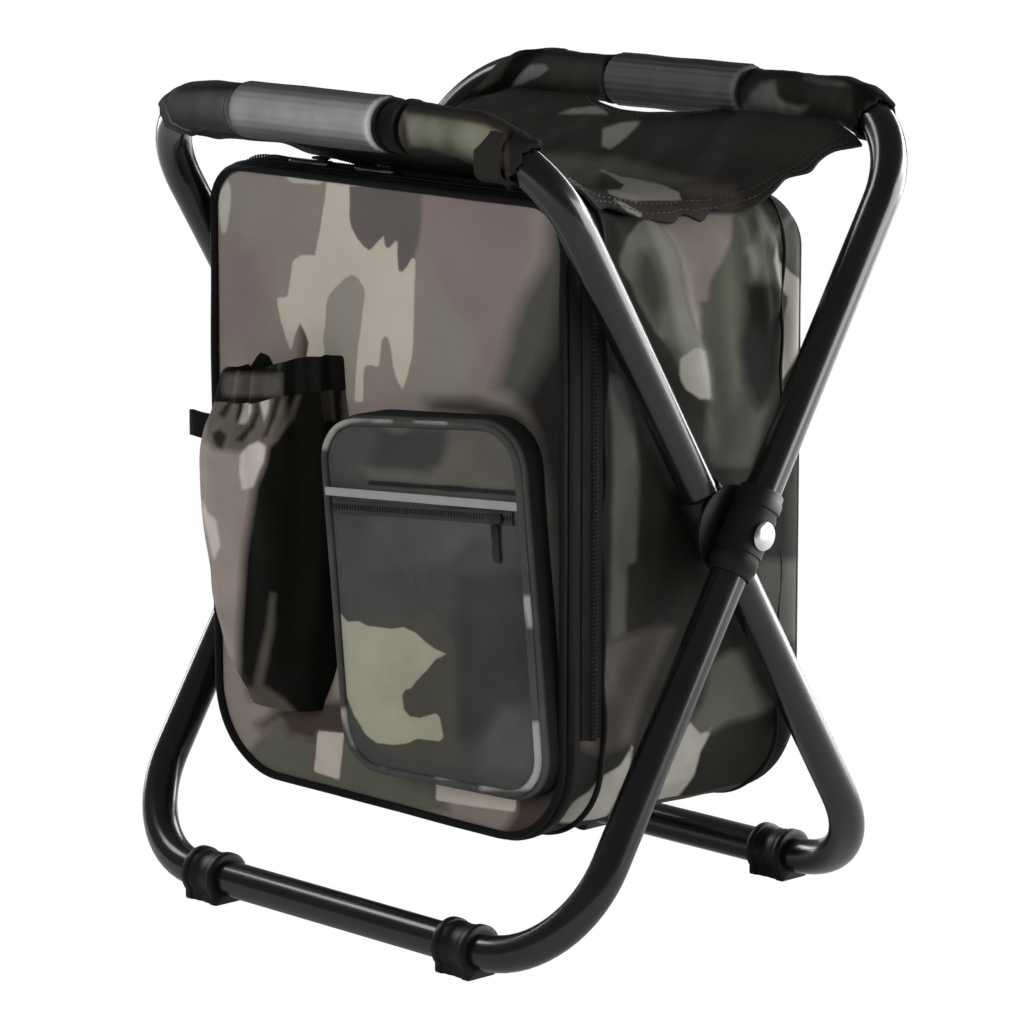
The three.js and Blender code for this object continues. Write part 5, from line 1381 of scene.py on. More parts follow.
SHELL_NOISE = [(BROWN, 0.52, 13.0, 1.3), (OLIVE, 0.56, 11.0, 4.1), (TAN, 0.625, 12.0, 7.7)]
SIDE_PATCHES = {
    "side_quiet": (colour(0.016, 0.016, 0.013), 6.0, []),
    "side_olive": (OLIVE, 2.5, [
        [733,214, 751,212, 768,232, 780,262, 792,290, 786,340, 780,380, 756,440, 748,466, 718,466, 706,440,
         708,398, 706,352, 700,334, 700,300, 710,282, 721,264, 731,240],
    ]),
    "side_grey": (colour(0.085, 0.084, 0.074), 2.5, [
        [778,250, 776,237, 787,222, 797,234, 806,258, 806,284, 789,270],
        [716,400, 740,392, 758,410, 757,440, 748,464, 712,462],
        [756,560, 800,560, 800,640, 772,640, 757,600],
    ]),
    "side_mauve": (colour(0.20, 0.175, 0.15), 1.5, [
        [655,214, 700,214, 734,214, 732,240, 721,264, 710,283, 708,300, 700,302, 702,334, 695,330, 686,302,
         682,281, 680,258, 673,242, 663,229],
    ]),
    "side_fold": (colour(0.115, 0.113, 0.090), 1.0, [
        [618,258, 626,238, 636,226, 645,219, 654,219, 662,229, 673,242, 680,258, 683,281, 686,302, 692,319,
         700,338, 707,350, 709,370, 712,399, 699,398, 686,389, 680,377, 676,362, 669,348, 657,334, 645,314,
         637,300, 631,283, 622,271],
    ]),
    "side_lit": (colour(0.20, 0.20, 0.17), 2.5, [
        [648,221, 656,220, 665,235, 674,246, 681,262, 684,284, 688,304, 694,322, 701,340, 708,352, 711,380,
         712,399, 700,396, 690,372, 684,350, 676,330, 672,305, 668,280, 662,256, 654,238],
        [748,250, 756,246, 760,262, 756,278, 750,270], [757,206, 764,216, 777,240, 774,246, 762,226],
        [790,218, 782,230, 774,244, 772,240, 782,224],
    ]),
    "side_khaki": (colour(0.09, 0.09, 0.073), 2.5, [
        [690,722, 700,706, 706,689, 709,665, 730,651, 742,650, 757,683, 772,706, 755,717, 730,723, 712,732,
         696,740],
    ]),
    "side_brown": (colour(0.10, 0.084, 0.073), 3.0, [
        [580,646, 621,639, 660,625, 674,628, 657,665, 640,705, 630,742, 600,756, 580,745],
    ]),
    # Painted highlight: a pale strip down a fold near the side's front edge.
    "side_fold_highlight": (colour(0.085, 0.084, 0.078), 1.5, [
        [606,370, 612,420, 613,470, 611,560, 609,642, 626,634, 626,566, 637,560, 641,470, 634,420, 622,380],
    ]),
    # Painted shade: dark beside the rolled fold and the pleats, and where the crossed legs shade the side.
    "side_painted_shade": (colour(0.012, 0.012, 0.009), 3.0, [
        [744,283, 772,282, 782,288, 788,298, 782,314, 780,372, 772,400, 757,410, 750,390, 744,380, 739,348,
         746,305], [750,218, 755,210, 760,228, 753,233], [745,262, 748,256, 752,272, 750,276],
        [600,214, 622,220, 624,240, 616,262, 606,258],
        [640,440, 706,466, 712,500, 740,560, 640,620, 640,560],
        [703,748, 714,738, 730,724, 756,718, 782,716, 782,760, 752,784, 720,804, 690,812, 672,806, 694,776],
    ]),
    "side_shadow": (colour(0.036, 0.035, 0.026), 3.5, [
        [640,252, 652,250, 662,276, 664,300, 656,326, 646,306, 636,286],
        [666,340, 676,352, 678,372, 668,352],
    ]),
    "side_tan": (colour(0.36, 0.35, 0.30), 0.7, [
        [680,359, 696,348, 706,350, 709,370, 712,400, 700,398, 686,389, 680,377],
        [777,240, 779,262, 789,271, 806,284, 806,310, 802,338, 796,357, 780,384, 781,348, 785,314, 788,298,
         780,286, 774,262],
        [556,822, 566,810, 578,799, 590,791, 600,778, 621,765, 634,742, 628,774, 610,812, 600,824],
        [679,737, 690,722, 700,734, 713,727, 706,742, 700,752, 694,776, 676,800, 664,818, 640,820, 660,776],
    ]),
}
shell_cloth = printed_and_painted_cloth(
    "bag_side_camouflage", DEEP, SIDE_PATCHES, noise=SHELL_NOISE, spread=0.16, clouds=30.0,
)
shell = loft("bag_cloth_shell", rings, shell_cloth)
spots = vertices_of(shell)
stored(shell, "side_quiet", np.where(on_right_side(spots), QUIET_UNTIL - spots[:, 1], FAR_OUTSIDE))
paint_seen(shell, SIDE_PATCHES, on_right_side)
settled(shell, "bag", "bag_cloth", "bag_shell")
under_cloth = CLOTH_THICKNESS + FOAM_GAP
foam_outside = layer_rings(under_cloth, BAG_REAR - under_cloth, FOAM_ROWS)[::-1]
foam_rings = np.concatenate([layer_rings(FOAM_INSIDE, FOAM_REAR, FOAM_ROWS), foam_outside])
foam_layer = loft("bag_foam_layer", foam_rings, foam)
settled(foam_layer, "bag", "insulation_foam", "bag_insulation")
for made in (shell, foam_layer):
    print(made.name, len(made.data.polygons), "faces")


# %% Seam bindings round the bag
def rim_line(y, grow):
    """The bag's outline at one depth, let out a little, as a closed line in space."""
    return np.insert(shell_ring(y, -grow), 1, y, axis=1)


def cord_round(name, line, radius, material, closed=True, sides=12, up=(0.0, 1.0, 0.0)):
    """A round piping along a line."""
    rings = carried(line, circle(sides, radius), up=up, closed=closed)
    return loft(name, rings, material, ends="joined" if closed else "fan")


for name, y, radius in (("bag_front_seam_piping", -63.2, 1.5), ("bag_rear_seam_piping", 58.0, 0.9)):
    line = rim_line(y, 0.5)
    line = line + 0.5 * ripple(line, 40.0, 21)[:, None]
    settled(cord_round(name, line, radius, binding), "bag", "binding")
print("seam piping made")

# %% [markdown]
# ## The front panel
# The bag's front is a zipped door: printed cloth over thin foam, with piping sewn round its edge. The
# foam makes it slightly pillowy. It is one skin of rings that shrink from the outline to the middle,
# so that the edge is round, the face is gently domed and there are no corners to shade badly. The
# camouflage follows drawn outlines, because the print is what one sees first. Painted shade down the
# right edge, round the pocket and between the pockets, and painted glints on the top edge, follow
# outlines too.

# %% The door's face
DOOR_BACK = -82.2
DOOR_FACE = -85.3
DOOR_LOW, DOOR_TOP = 58.0, 368.0
DOOR_LOW_RADIUS, DOOR_TOP_RADIUS = 46.0, 24.0
DOOR_MIDDLE = np.array([0.0, 214.0])
DOOR_STEPS = 400
TAUPE = colour(0.192, 0.163, 0.145)
DOOR_MAUVE = colour(0.172, 0.136, 0.132)
BEIGE = colour(0.40, 0.36, 0.305)
DOOR_GREY = colour(0.10, 0.088, 0.085)
LOW_GREY = colour(0.092, 0.090, 0.070)


def door_outline(inset=0.0, count=DOOR_STEPS):
    """The door's edge as (x, z), drawn in by an inset."""
    low, high = DOOR_LOW + inset, DOOR_TOP - inset
    low_corner, top_corner = DOOR_LOW_RADIUS - inset, DOOR_TOP_RADIUS - inset
    return rounded_loop(BAG_HALF - inset, low, high, low_corner, top_corner, 16, count)


def drawn_in(outline, spot, inset):
    """An outline whose points move towards a spot by an inset in millimetres."""
    away = outline - spot
    return spot + away * (1.0 - inset / np.linalg.norm(away, axis=1, keepdims=True))


def pillow(name, outline, middle, back, face, edge, dome, steps, material, bumps=None, place=None):
    """A panel from its outline: flat back, round edge and gently domed face, towards -Y."""
    spot = np.asarray(middle, float)
    layers = [(spot + (outline - spot) * share, back) for share in (0.02, 0.5, 0.97, 1.0)]
    for angle in np.linspace(0.0, np.pi / 2, 6):
        depth = face + edge * (1 - math.sin(angle))
        layers.append((drawn_in(outline, spot, edge * (1 - math.cos(angle))), depth))
    inner = drawn_in(outline, spot, edge)
    for share in np.linspace(1.0, 0.01, steps)[1:]:
        flat = spot + (inner - spot) * share
        height = dome * (1 - share**4)
        if bumps is not None:
            height = height + bumps(flat) * float(eased(1 - share, 0.0, 0.1))
        layers.append((flat, face - height))
    rings = np.array([points_at(flat[:, 0], depth, flat[:, 1]) for flat, depth in layers])
    return loft(name, rings if place is None else place(rings), material)


DOOR_FOLDS = [
    ([(-118, 352), (-96, 330), (-84, 300)], 6.0, 1.0),
    ([(20, 358), (40, 330), (46, 300), (42, 280)], 9.0, 1.0),
    ([(96, 350), (104, 310), (108, 262)], 6.0, -1.2),
    ([(60, 352), (72, 322), (80, 292)], 6.0, 0.9),
    ([(-30, 350), (-44, 318), (-60, 288)], 7.0, 0.7),
    ([(110, 240), (114, 180), (112, 120)], 5.0, 1.0),
    ([(-118, 110), (-90, 84), (-40, 72)], 6.0, 1.2),
    ([(-20, 78), (30, 68), (90, 74)], 5.0, 1.0),
]


def door_bumps(flat):
    """Height of the door's cloth above its foam: drawn folds and a faint waviness."""
    height = 0.35 * ripple(flat, 120.0, 31) + 0.25 * ripple(flat, 46.0, 32)
    for path, width, rise in DOOR_FOLDS:
        height += ridge(flat, path, width, rise)
    return height


DOOR_PATCHES = {
    "door_mauve": (DOOR_MAUVE, 7.0, [
        [424,180, 520,184, 540,230, 520,300, 490,390, 440,300, 424,250],
        [220,240, 262,250, 268,300, 250,340, 222,330],
    ]),
    "door_olive": (colour(0.175, 0.170, 0.145), 6.0, [
        [238,184, 262,190, 262,214, 238,214], [436,300, 470,330, 450,396, 424,396, 424,330],
    ]),
    "door_grey": (DOOR_GREY, 1.2, [
        [347,180, 422,182, 422,215, 419,240, 413,262, 407,269, 399,276, 394,262, 390,252, 378,251, 369,254,
         360,247, 348,232],
    ]),
    "door_arch": (colour(0.215, 0.200, 0.170), 1.0, [
        [328,296, 337,284, 345,276, 352,273, 360,278, 366,288, 367,298, 361,334, 357,366, 355,402, 340,402,
         322,402, 322,340, 324,326, 326,304],
    ]),
    "door_low": (LOW_GREY, 2.0, [
        [262,736, 270,728, 280,721, 300,738, 343,735, 358,738, 378,757, 440,775, 450,812, 260,812, 240,760],
    ]),
    "door_shade": (colour(0.060, 0.059, 0.054), 5.0, [
        [549,210, 546,258, 533,280, 521,301, 511,329, 505,355, 495,388, 540,420, 620,420, 620,210],
        [425,399, 470,400, 520,408, 560,440, 600,860, 520,860, 540,780, 550,700, 540,480, 510,430, 470,414,
         430,412],
    ]),
    # Painted deep shade down the door's right edge and over the pocket's top.
    "door_deep_shade": (colour(0.012, 0.011, 0.010), 6.0, [
        [572,210, 562,300, 550,350, 520,404, 536,440, 548,500, 556,700, 556,780, 540,812, 620,860, 620,210],
        [440,405, 476,405, 520,418, 545,450, 520,450, 500,424, 470,410],
    ]),
    # Brown print; the third outline, behind the bottle pocket, is painted shade in the gap between the
    # pockets.
    "door_brown_and_gap_shade": (colour(0.046, 0.036, 0.030), 3.0, [
        [256,724, 275,710, 300,700, 348,700, 352,738, 320,733, 316,742, 290,736, 280,721, 262,732],
        [516,788, 540,784, 560,760, 575,700, 590,800, 560,830, 500,838, 515,812],
        [300,300, 330,420, 330,700, 250,700, 236,640, 232,420, 260,380, 300,370],
    ]),
    "door_beige": (BEIGE, 0.45, [
        [327,180, 349.4,180, 349.4,218, 352,229, 357,238, 363,245.6, 369.4,250.6, 377,242.4, 383.4,236,
         385,246, 388,249.4, 396,240, 398,241, 397.4,258, 398.6,271, 401,273, 407,267, 412,258, 415,259,
         414,326, 412,356, 408,374, 402.6,390, 397,380, 393,366, 390.6,346, 388,337, 384,336, 381.4,340,
         379.4,366, 376,367, 371,365, 365,366, 363.6,372, 363,402, 354,402, 356,366, 360,334, 365,294,
         363,286, 358,278, 352,274, 345,278, 337,286, 330,294, 326.6,304, 325,326, 323,340, 325,358,
         306,360, 309,342, 304,330, 300,323, 295,336, 291,351, 286,338, 281,322, 277,302, 277,297,
         287.4,297, 290,278, 292.4,261, 300,255, 315,255, 320,230, 325,198],
        [318,731, 344,733, 339,780, 314,771],
        [436,780, 460,784, 488,788, 517,790, 516,812, 470,806, 436,800],
    ]),
    # A pale print patch at the upper left; the thin outlines along the top edge are painted glints.
    "door_pale_and_glint": (colour(0.34, 0.335, 0.30), 0.6, [
        [228,180, 219,192, 219,218, 223,234, 227,230, 230,210, 231,190],
        [283,177, 290,175, 317,177, 326,181, 317,184.4, 293,182.6],
        [336,182.5, 372,183, 372,186, 336,185.5], [440,180, 480,182, 500,186, 499,190, 470,186, 440,184],
    ]),
}
door_cloth = printed_and_painted_cloth("door_camouflage", TAUPE, DOOR_PATCHES, spread=0.08, ragged=0.6, clouds=16.0)
panel = pillow(
    "front_panel_cloth", door_outline(0.6), DOOR_MIDDLE, DOOR_BACK, DOOR_FACE, 2.5, 1.6, 100,
    door_cloth, door_bumps,
)
paint_seen(panel, DOOR_PATCHES)
settled(panel, "front_door", "bag_cloth", "front_panel")
print(panel.name, len(panel.data.polygons), "faces")

# %% The door's piping, and the tape round its edge
line = np.insert(door_outline(2.2, 260), 1, -86.9, axis=1)
line[:, 1] += 0.4 * ripple(line, 50.0, 41)
edge_piping = cord_round("front_panel_edge_piping", line, 2.0, binding)
settled(edge_piping, "front_door", "binding", "front_panel_piping")
EDGE_TAPE = [
    (-0.7, -78.5), (-0.9, -81.0), (-0.8, -83.6), (0.4, -85.0), (0.9, -84.2), (0.4, -81.0), (0.3, -78.5),
]
tape_rings = np.array([np.insert(door_outline(inset, 260), 1, y, axis=1) for inset, y in EDGE_TAPE])
edge_tape = loft("front_panel_edge_tape", tape_rings.transpose(1, 0, 2), binding, ends="joined")
settled(edge_tape, "front_door", "binding")
print("door edged with", edge_piping.name, "and", edge_tape.name)

# %% [markdown]
# ## The zip round the bag's front rim
# A dark tape runs round the rim with two rows of nylon teeth that mesh in its middle. Hundreds of
# teeth by hand would be slow, so the same Geometry Nodes that made the stitches set one small tooth
# along each row. The second row starts half a tooth later, so that the teeth interlock.

# %% Zip tape
ZIP_BACK, ZIP_FRONT = -63.7, -77.7
ZIP_LOW = 112.0
ZIP_GAP = 0.15
rim = door_outline(-0.5, 520)
run = rim[rim[:, 1] > ZIP_LOW]
first = int(np.argmax(np.hypot(*(run - np.roll(run, 1, 0)).T)))
run = np.roll(run, -first, 0)
zip_depths = np.array([ZIP_FRONT, -76.0, -73.0, -71.6, -69.8, -68.4, -65.6, ZIP_BACK])
zip_rise = np.array([0.0, 0.25, 0.3, 0.1, 0.1, 0.3, 0.25, 0.0])
inward = DOOR_MIDDLE - run
inward /= np.linalg.norm(inward, axis=1, keepdims=True)
grid = []
for y, rise in zip(zip_depths, zip_rise):
    raised_run = run - inward * (ZIP_GAP + rise)
    grid.append(points_at(raised_run[:, 0], y, raised_run[:, 1]))
grid = np.array(grid).transpose(1, 0, 2)
settled(thick_sheet("front_zip_tape", grid, 0.8, zip_cloth), "bag", "zip_tape", "front_zip")
print("zip tape has", len(run), "points along the rim")

# %% Two rows of teeth
TOOTH_PITCH = 2.0
tooth = small_block("zip_tooth", 1.1, 3.4, 0.9, 0.2)
dense = resampled(run, 400)
outside = dense - DOOR_MIDDLE
outside /= np.linalg.norm(outside, axis=1, keepdims=True)
step = np.linalg.norm(np.diff(dense, axis=0), axis=1).mean()
for word, share, y in (("front", 0.0, -71.5), ("rear", 0.5, -69.9)):
    place = np.insert(dense + outside * 0.9, 1, y, axis=1)
    row = place[int(share * TOOTH_PITCH / step):]
    teeth = repeated(f"front_zip_teeth_{word}", row, tooth, TOOTH_PITCH, nylon_teeth, (0, 1, 0))
    settled(teeth, "bag", "zip_plastic")


# %% Zip sliders with their pulls
def rounded_plate(name, outline, low, high, bevel, material, place=None):
    """A plate from an outline (x, y), from one height to another, with bevelled edges."""
    spot = outline.mean(0)
    rings = []
    for z, inset in ((low, bevel), (low + bevel, 0.0), (high - bevel, 0.0), (high, bevel)):
        rings.append(np.insert(drawn_in(outline, spot, inset), 2, z, axis=1))
    return loft(name, rings if place is None else place(np.array(rings)), material)


def capsule(x, y, half_x, half_y, radius, count=32):
    """A rounded rectangle in (x, y)."""
    return rounded_loop(half_x, -half_y, half_y, radius, radius, 6, count) + np.array([x, y])


for word, x in (("left", -62.0), ("right", -14.0)):
    body = f"zip_slider_{word}"
    base = rounded_plate(body + "_base", capsule(x, -70.7, 6.0, 4.0, 2.4), 369.6, 370.9, 0.35, slider_metal)
    settled(base, body, "zip_metal", body)
    roof = rounded_plate(body + "_roof", capsule(x, -70.7, 5.2, 2.6, 1.8), 371.7, 372.9, 0.4, slider_metal)
    settled(roof, body, "zip_metal")
    neck_outline = capsule(x + 2.8, -70.7, 1.4, 1.4, 0.9)
    neck = rounded_plate(body + "_neck", neck_outline, 370.8, 371.9, 0.1, slider_metal)
    settled(neck, body, "zip_metal")
    pull = [(-13.5, -2.0), (-12.9, -2.5), (6.0, -2.5), (8.5, -1.7), (12.6, -1.7), (13.5, -1.0)]
    outline = pull + [(px, -py) for px, py in reversed(pull)]
    outline = resampled(np.array(outline) + np.array([x, -77.5]), 48, closed=True)
    tag = rounded_plate(body + "_pull", outline, 370.0, 371.4, 0.3, slider_metal)
    settled(tag, body, "zip_metal", f"zip_pull_{word}")
print("zip sliders made")

# %% [markdown]
# ## The front pocket
# A box-shaped pocket is sewn to the door a little askew, and it stands out more on its left than on
# its right. It is the same pillow as the door, but its points are turned and leant by a function
# before they become a mesh. The zip sits under a pale reflective strip.

# %% The pocket's place on the door
POCKET_SPOT = np.array([52.0, 171.5])
POCKET_TILT = math.radians(6.0)
POCKET_HALF = (62.0, 89.5)
POCKET_CORNER = 24.0
POCKET_BACK = -85.6
POCKET_STRETCH = 1.07
POCKET_SKEW = (0.45, 0.35)
POCKET_MEAN_DEPTH, POCKET_LEAN = 20.0, 7.0 / 62.0


def on_pocket(points):
    """From (across, outward share of the depth, up) on the pocket to the stool's place."""
    points = np.asarray(points, float)
    across, share, up = points[..., 0], points[..., 1], points[..., 2]
    wider = across * np.where(across > 0, POCKET_STRETCH, 1.0)
    skew = POCKET_SKEW[0] + POCKET_SKEW[1] * up / POCKET_HALF[1]
    x = POCKET_SPOT[0] + wider * math.cos(POCKET_TILT) - up * math.sin(POCKET_TILT)
    z = POCKET_SPOT[1] + wider * math.sin(POCKET_TILT) * skew + up * math.cos(POCKET_TILT)
    depth = POCKET_MEAN_DEPTH - POCKET_LEAN * across
    return np.stack([x, POCKET_BACK - share * depth / POCKET_MEAN_DEPTH, z], -1)


def pocket_outline(inset=0.0, count=240):
    """The pocket's edge as (across, up)."""
    radius = POCKET_CORNER - inset
    half_width, half_height = POCKET_HALF[0] - inset, POCKET_HALF[1] - inset
    return rounded_loop(half_width, -half_height, half_height, radius, radius, 14, count)


POCKET_FOLDS = [
    ([(-54, 70), (-30, 62), (0, 66)], 5.0, 0.9), ([(20, 78), (44, 62), (52, 30)], 6.0, 1.0),
    ([(-52, 20), (-46, -20), (-50, -56)], 5.0, 0.9), ([(50, -10), (46, -50), (30, -76)], 5.0, 0.9),
    ([(-40, -78), (-6, -72), (24, -78)], 5.0, 0.9), ([(-20, 10), (10, 2), (40, 8)], 9.0, 0.6),
]


def pocket_bumps(flat):
    """Folds and a faint waviness of the pocket's face; it sinks along the zip."""
    height = 0.45 * ripple(flat, 60.0, 51) + 0.25 * ripple(flat, 24.0, 52)
    for path, width, rise in POCKET_FOLDS:
        height += ridge(flat, path, width, rise)
    zip_flat = eased(np.abs(flat[:, 1] - 46.0), 5.0, 14.0)
    return height * zip_flat - 1.2 * (1 - zip_flat)


# %% The pocket's box, its print and its painted shade
POCKET_GREY = colour(0.052, 0.052, 0.051)
POCKET_PATCHES = {
    "pocket_light": (colour(0.066, 0.066, 0.067), 4.0, [
        [366,503, 440,508, 516,514, 510,526, 470,540, 435,568, 372,568],
        [480,738, 504,706, 539,712, 528,770, 480,772],
    ]),
    "pocket_dark": (colour(0.036, 0.036, 0.035), 4.0, [
        [455,575, 530,570, 537,700, 500,705, 478,740, 455,740],
        [378,426, 444,430, 446,462, 430,474, 372,468],
    ]),
    "pocket_top": (colour(0.085, 0.080, 0.068), 2.5, [
        [448,422, 490,428, 514,450, 523,492, 440,486, 372,480, 362,468, 430,474, 442,462, 450,440],
        [378,418, 412,418, 408,430, 396,433, 384,428],
    ]),
    "pocket_olive": (colour(0.058, 0.057, 0.046), 2.5, [
        [358,612, 404,616, 436,610, 452,640, 455,760, 420,765, 388,752, 400,690, 400,640],
    ]),
    "pocket_gusset": (colour(0.010, 0.010, 0.009), 2.0, []),
    # Painted shade: thin dark lines along the reflective strip, as the shadow of a fold.
    "pocket_strip_shade": (colour(0.014, 0.014, 0.014), 0.5, [
        [368,480, 440,485, 522,491, 522,496, 440,490.5, 368,485],
        [324,498, 420,505, 522,511, 522,513, 420,507, 324,500],
    ]),
    "pocket_beige": (colour(0.275, 0.268, 0.205), 0.4, [
        [335,606, 341,613, 347.5,622, 358,621.5, 368,626, 391,629, 403.6,627, 416,632.5, 425.5,642, 435,649,
         446,654, 435,659.5, 427,670, 416,682, 411.4,688.6, 405,690, 402,696, 403.6,709, 410,716.7, 419,718,
         436,713, 440,718, 443,737, 439.5,741, 417.6,738.5, 406.7,743.5, 394,744.5, 377,743, 366,735,
         354,715, 344,690, 338,659],
    ]),
}
pocket_cloth = printed_and_painted_cloth(
    "pocket_camouflage", POCKET_GREY, POCKET_PATCHES, spread=0.16, clouds=24.0, ragged=0.7,
)
pocket = pillow(
    "front_pocket_cloth", pocket_outline(), (0.0, 0.0), 0.0, -POCKET_MEAN_DEPTH, 5.0, 2.2, 80, pocket_cloth,
    pocket_bumps, lambda rings: on_pocket(rings * np.array([1.0, -1.0, 1.0])),
)
settled(pocket, "front_door", "bag_cloth", "front_pocket")
spots = vertices_of(pocket)
depth_share = (POCKET_BACK - spots[:, 1]) / POCKET_MEAN_DEPTH
lean = 1.0 - POCKET_LEAN * (spots[:, 0] - POCKET_SPOT[0]) / POCKET_MEAN_DEPTH
stored(pocket, "pocket_gusset", (0.86 - depth_share / lean) * 30.0)
paint_seen(pocket, POCKET_PATCHES)
print(pocket.name, len(pocket.data.polygons), "faces")

# %% Piping, strip, zip, slider and pull of the pocket
edge = pocket_outline(3.6, 220)
line = on_pocket(points_at(edge[:, 0], 0.97 * POCKET_MEAN_DEPTH + 1.2, edge[:, 1]))
PIPING_PATCHES = {
    # Painted highlights where the piping catches the light.
    "piping_glint": (colour(0.26, 0.26, 0.25), 1.2, [
        [316,450, 320,430, 330,415, 350,408, 374,408, 374,420, 350,422, 336,430, 328,450],
        [372,406, 392,408, 392,422, 372,422], [414,408, 446,410, 446,424, 414,422],
        [522,596, 545,596, 550,628, 528,628],
        [530,722, 560,722, 560,780, 540,790, 480,790, 480,768, 520,766, 532,750],
        [338,708, 350,708, 366,738, 390,758, 384,768, 352,744], [436,760, 460,762, 460,780, 436,778],
    ]),
}
piping_cloth = printed_and_painted_cloth(
    "grey_pocket_piping", colour(0.045, 0.045, 0.044), PIPING_PATCHES, roughness=0.4, spread=0.25,
)
pocket_piping = cord_round("front_pocket_edge_piping", line, 1.9, piping_cloth)
paint_seen(pocket_piping, PIPING_PATCHES)
settled(pocket_piping, "front_door", "binding", "front_pocket_piping")


def pocket_tape(name, half_length, rise, half_height, out, thick, material, slope=0.0):
    """A flat tape across the pocket's face."""
    across = np.linspace(-half_length, half_length, 90)
    ups = np.linspace(-half_height, half_height, 7)
    a, b = np.meshgrid(across, ups, indexing="ij")
    share = POCKET_MEAN_DEPTH + out + 0.25 * np.cos(b / half_height * 1.4)
    return thick_sheet(name, on_pocket(points_at(a, share, rise + b + slope * a)), thick, material)


zip_tape = pocket_tape("front_pocket_zip_tape", 54.0, 44.0, 3.0, 1.4, 0.8, pocket_tape_cloth)
settled(zip_tape, "front_door", "zip_tape", "front_pocket_zip")
strip = pocket_tape("front_pocket_reflective_strip", 57.5, 50.6, 2.0, 1.9, 0.7, reflective, -0.016)
settled(strip, "front_door", "reflective_tape", "reflective_strip")
for word, rise in (("upper", 44.75), ("lower", 43.55)):
    travel = np.linspace(-53.0, 53.0, 300)
    place = on_pocket(points_at(travel, POCKET_MEAN_DEPTH + 2.1, rise))
    tooth = small_block(f"pocket_tooth_{word}", 0.8, 1.6, 0.8, 0.15)
    teeth = repeated(f"front_pocket_zip_teeth_{word}", place, tooth, 1.7, nylon_teeth, (0, -1, 0))
    settled(teeth, "front_door", "zip_plastic")


def on_face(points):
    """From (across, up, out) on the pocket's face to the stool's place."""
    return on_pocket(points_at(points[..., 0], POCKET_MEAN_DEPTH + points[..., 2], points[..., 1]))


slider_outline, pull_outline = capsule(45.0, 44.0, 4.4, 2.5, 1.6), capsule(45.0, 32.2, 2.0, 9.0, 1.6)
slider = rounded_plate("pocket_zip_slider_body", slider_outline, 3.2, 5.4, 0.4, pull_cord, on_face)
settled(slider, "pocket_zip_slider", "zip_metal", "front_pocket_zip_slider")
pull = rounded_plate("pocket_zip_slider_pull", pull_outline, 3.4, 4.7, 0.3, pull_cord, on_face)
settled(pull, "pocket_zip_slider", "zip_metal", "front_pocket_zip_pull")
print("front pocket dressed")

# %% [markdown]
# ## The bottle pocket
# A loose pouch of the same cloth, gathered by elastic at its mouth. Gathers are pleats that fade
# out below, so the radius of each ring rises and falls round it, more and more towards the top.
# The pouch is a real cup with an inside, which is painted near-black as shade, so the mouth shows dark
# between the two peaks of the hem.

# %% The pouch
BOTTLE_LOW, BOTTLE_TALL = 100.0, 168.0
BOTTLE_X = -71.0
BOTTLE_STATIONS = np.array([
    (0.0, 22.0, 16.0, 2.0), (0.10, 33.0, 24.0, 2.0), (0.28, 41.0, 30.0, 2.0), (0.55, 47.0, 34.0, 1.0),
    (0.74, 49.0, 36.0, 1.0), (0.90, 43.0, 33.0, 3.0), (1.0, 36.0, 31.0, 6.0), (1.1, 35.0, 30.0, 7.0),
])
POUCH_ARC, POUCH_BACK, POUCH_ROWS = 150, 30, 120
MOUTH_TOP = 1.052


def pouch_sizes(share):
    """Half width, depth and sideways shift of the pouch at each share of its height."""
    t = BOTTLE_STATIONS[:, 0]
    fine = np.linspace(0.0, 1.1, 200)
    sizes = []
    for k in (1, 2, 3):
        rough = np.interp(fine, t, BOTTLE_STATIONS[:, k])
        soft = np.convolve(np.pad(rough, 8, mode="edge"), np.ones(17) / 17, "valid")
        sizes.append(np.interp(share, fine, soft))
    return sizes


BOTTLE_FOLDS = [
    # path as (turn in degrees from the left, share of the height), width in mm, height
    ([(62, 0.98), (70, 0.78), (60, 0.5), (66, 0.25)], 5.0, 3.4),
    ([(84, 1.0), (92, 0.8), (96, 0.55), (88, 0.2)], 5.0, -3.6),
    ([(106, 0.98), (114, 0.75), (118, 0.5), (112, 0.2)], 6.0, 3.2),
    ([(132, 0.95), (136, 0.7), (134, 0.4), (128, 0.1)], 5.0, -3.0),
    ([(30, 0.95), (36, 0.7), (30, 0.45), (36, 0.2)], 6.0, 2.6),
    ([(46, 0.9), (50, 0.72), (46, 0.56)], 4.0, -2.4),
    ([(20, 0.36), (60, 0.30), (100, 0.34)], 6.0, 2.0),
    ([(40, 0.16), (80, 0.12), (130, 0.18)], 5.0, 2.0),
    ([(150, 0.9), (156, 0.6), (150, 0.3)], 5.0, 2.6),
]


MOUTH_TURNS = [0.0, 20.0, 45.0, 75.0, 100.0, 125.0, 145.0, 165.0, 180.0]
MOUTH_RISES = [-11.0, -11.0, -9.5, -8.0, -6.0, 0.0, 2.2, 2.2, 1.0]
BACK_SHARES = [0.0, 0.35, 0.66, 0.78, 0.88, 1.0]
BACK_RISES = [1.0, -10.0, -13.0, -3.0, -2.0, -11.0]


def mouth_rise(turn):
    """How the rim rises and falls round the mouth, in mm: low on the left, high on the right."""
    fine = np.arange(0.0, 181.0)
    padded = np.pad(np.interp(fine, MOUTH_TURNS, MOUTH_RISES), 9, mode="edge")
    soft = np.convolve(padded, np.ones(19) / 19, "valid")
    return np.interp(np.degrees(turn), fine, soft)


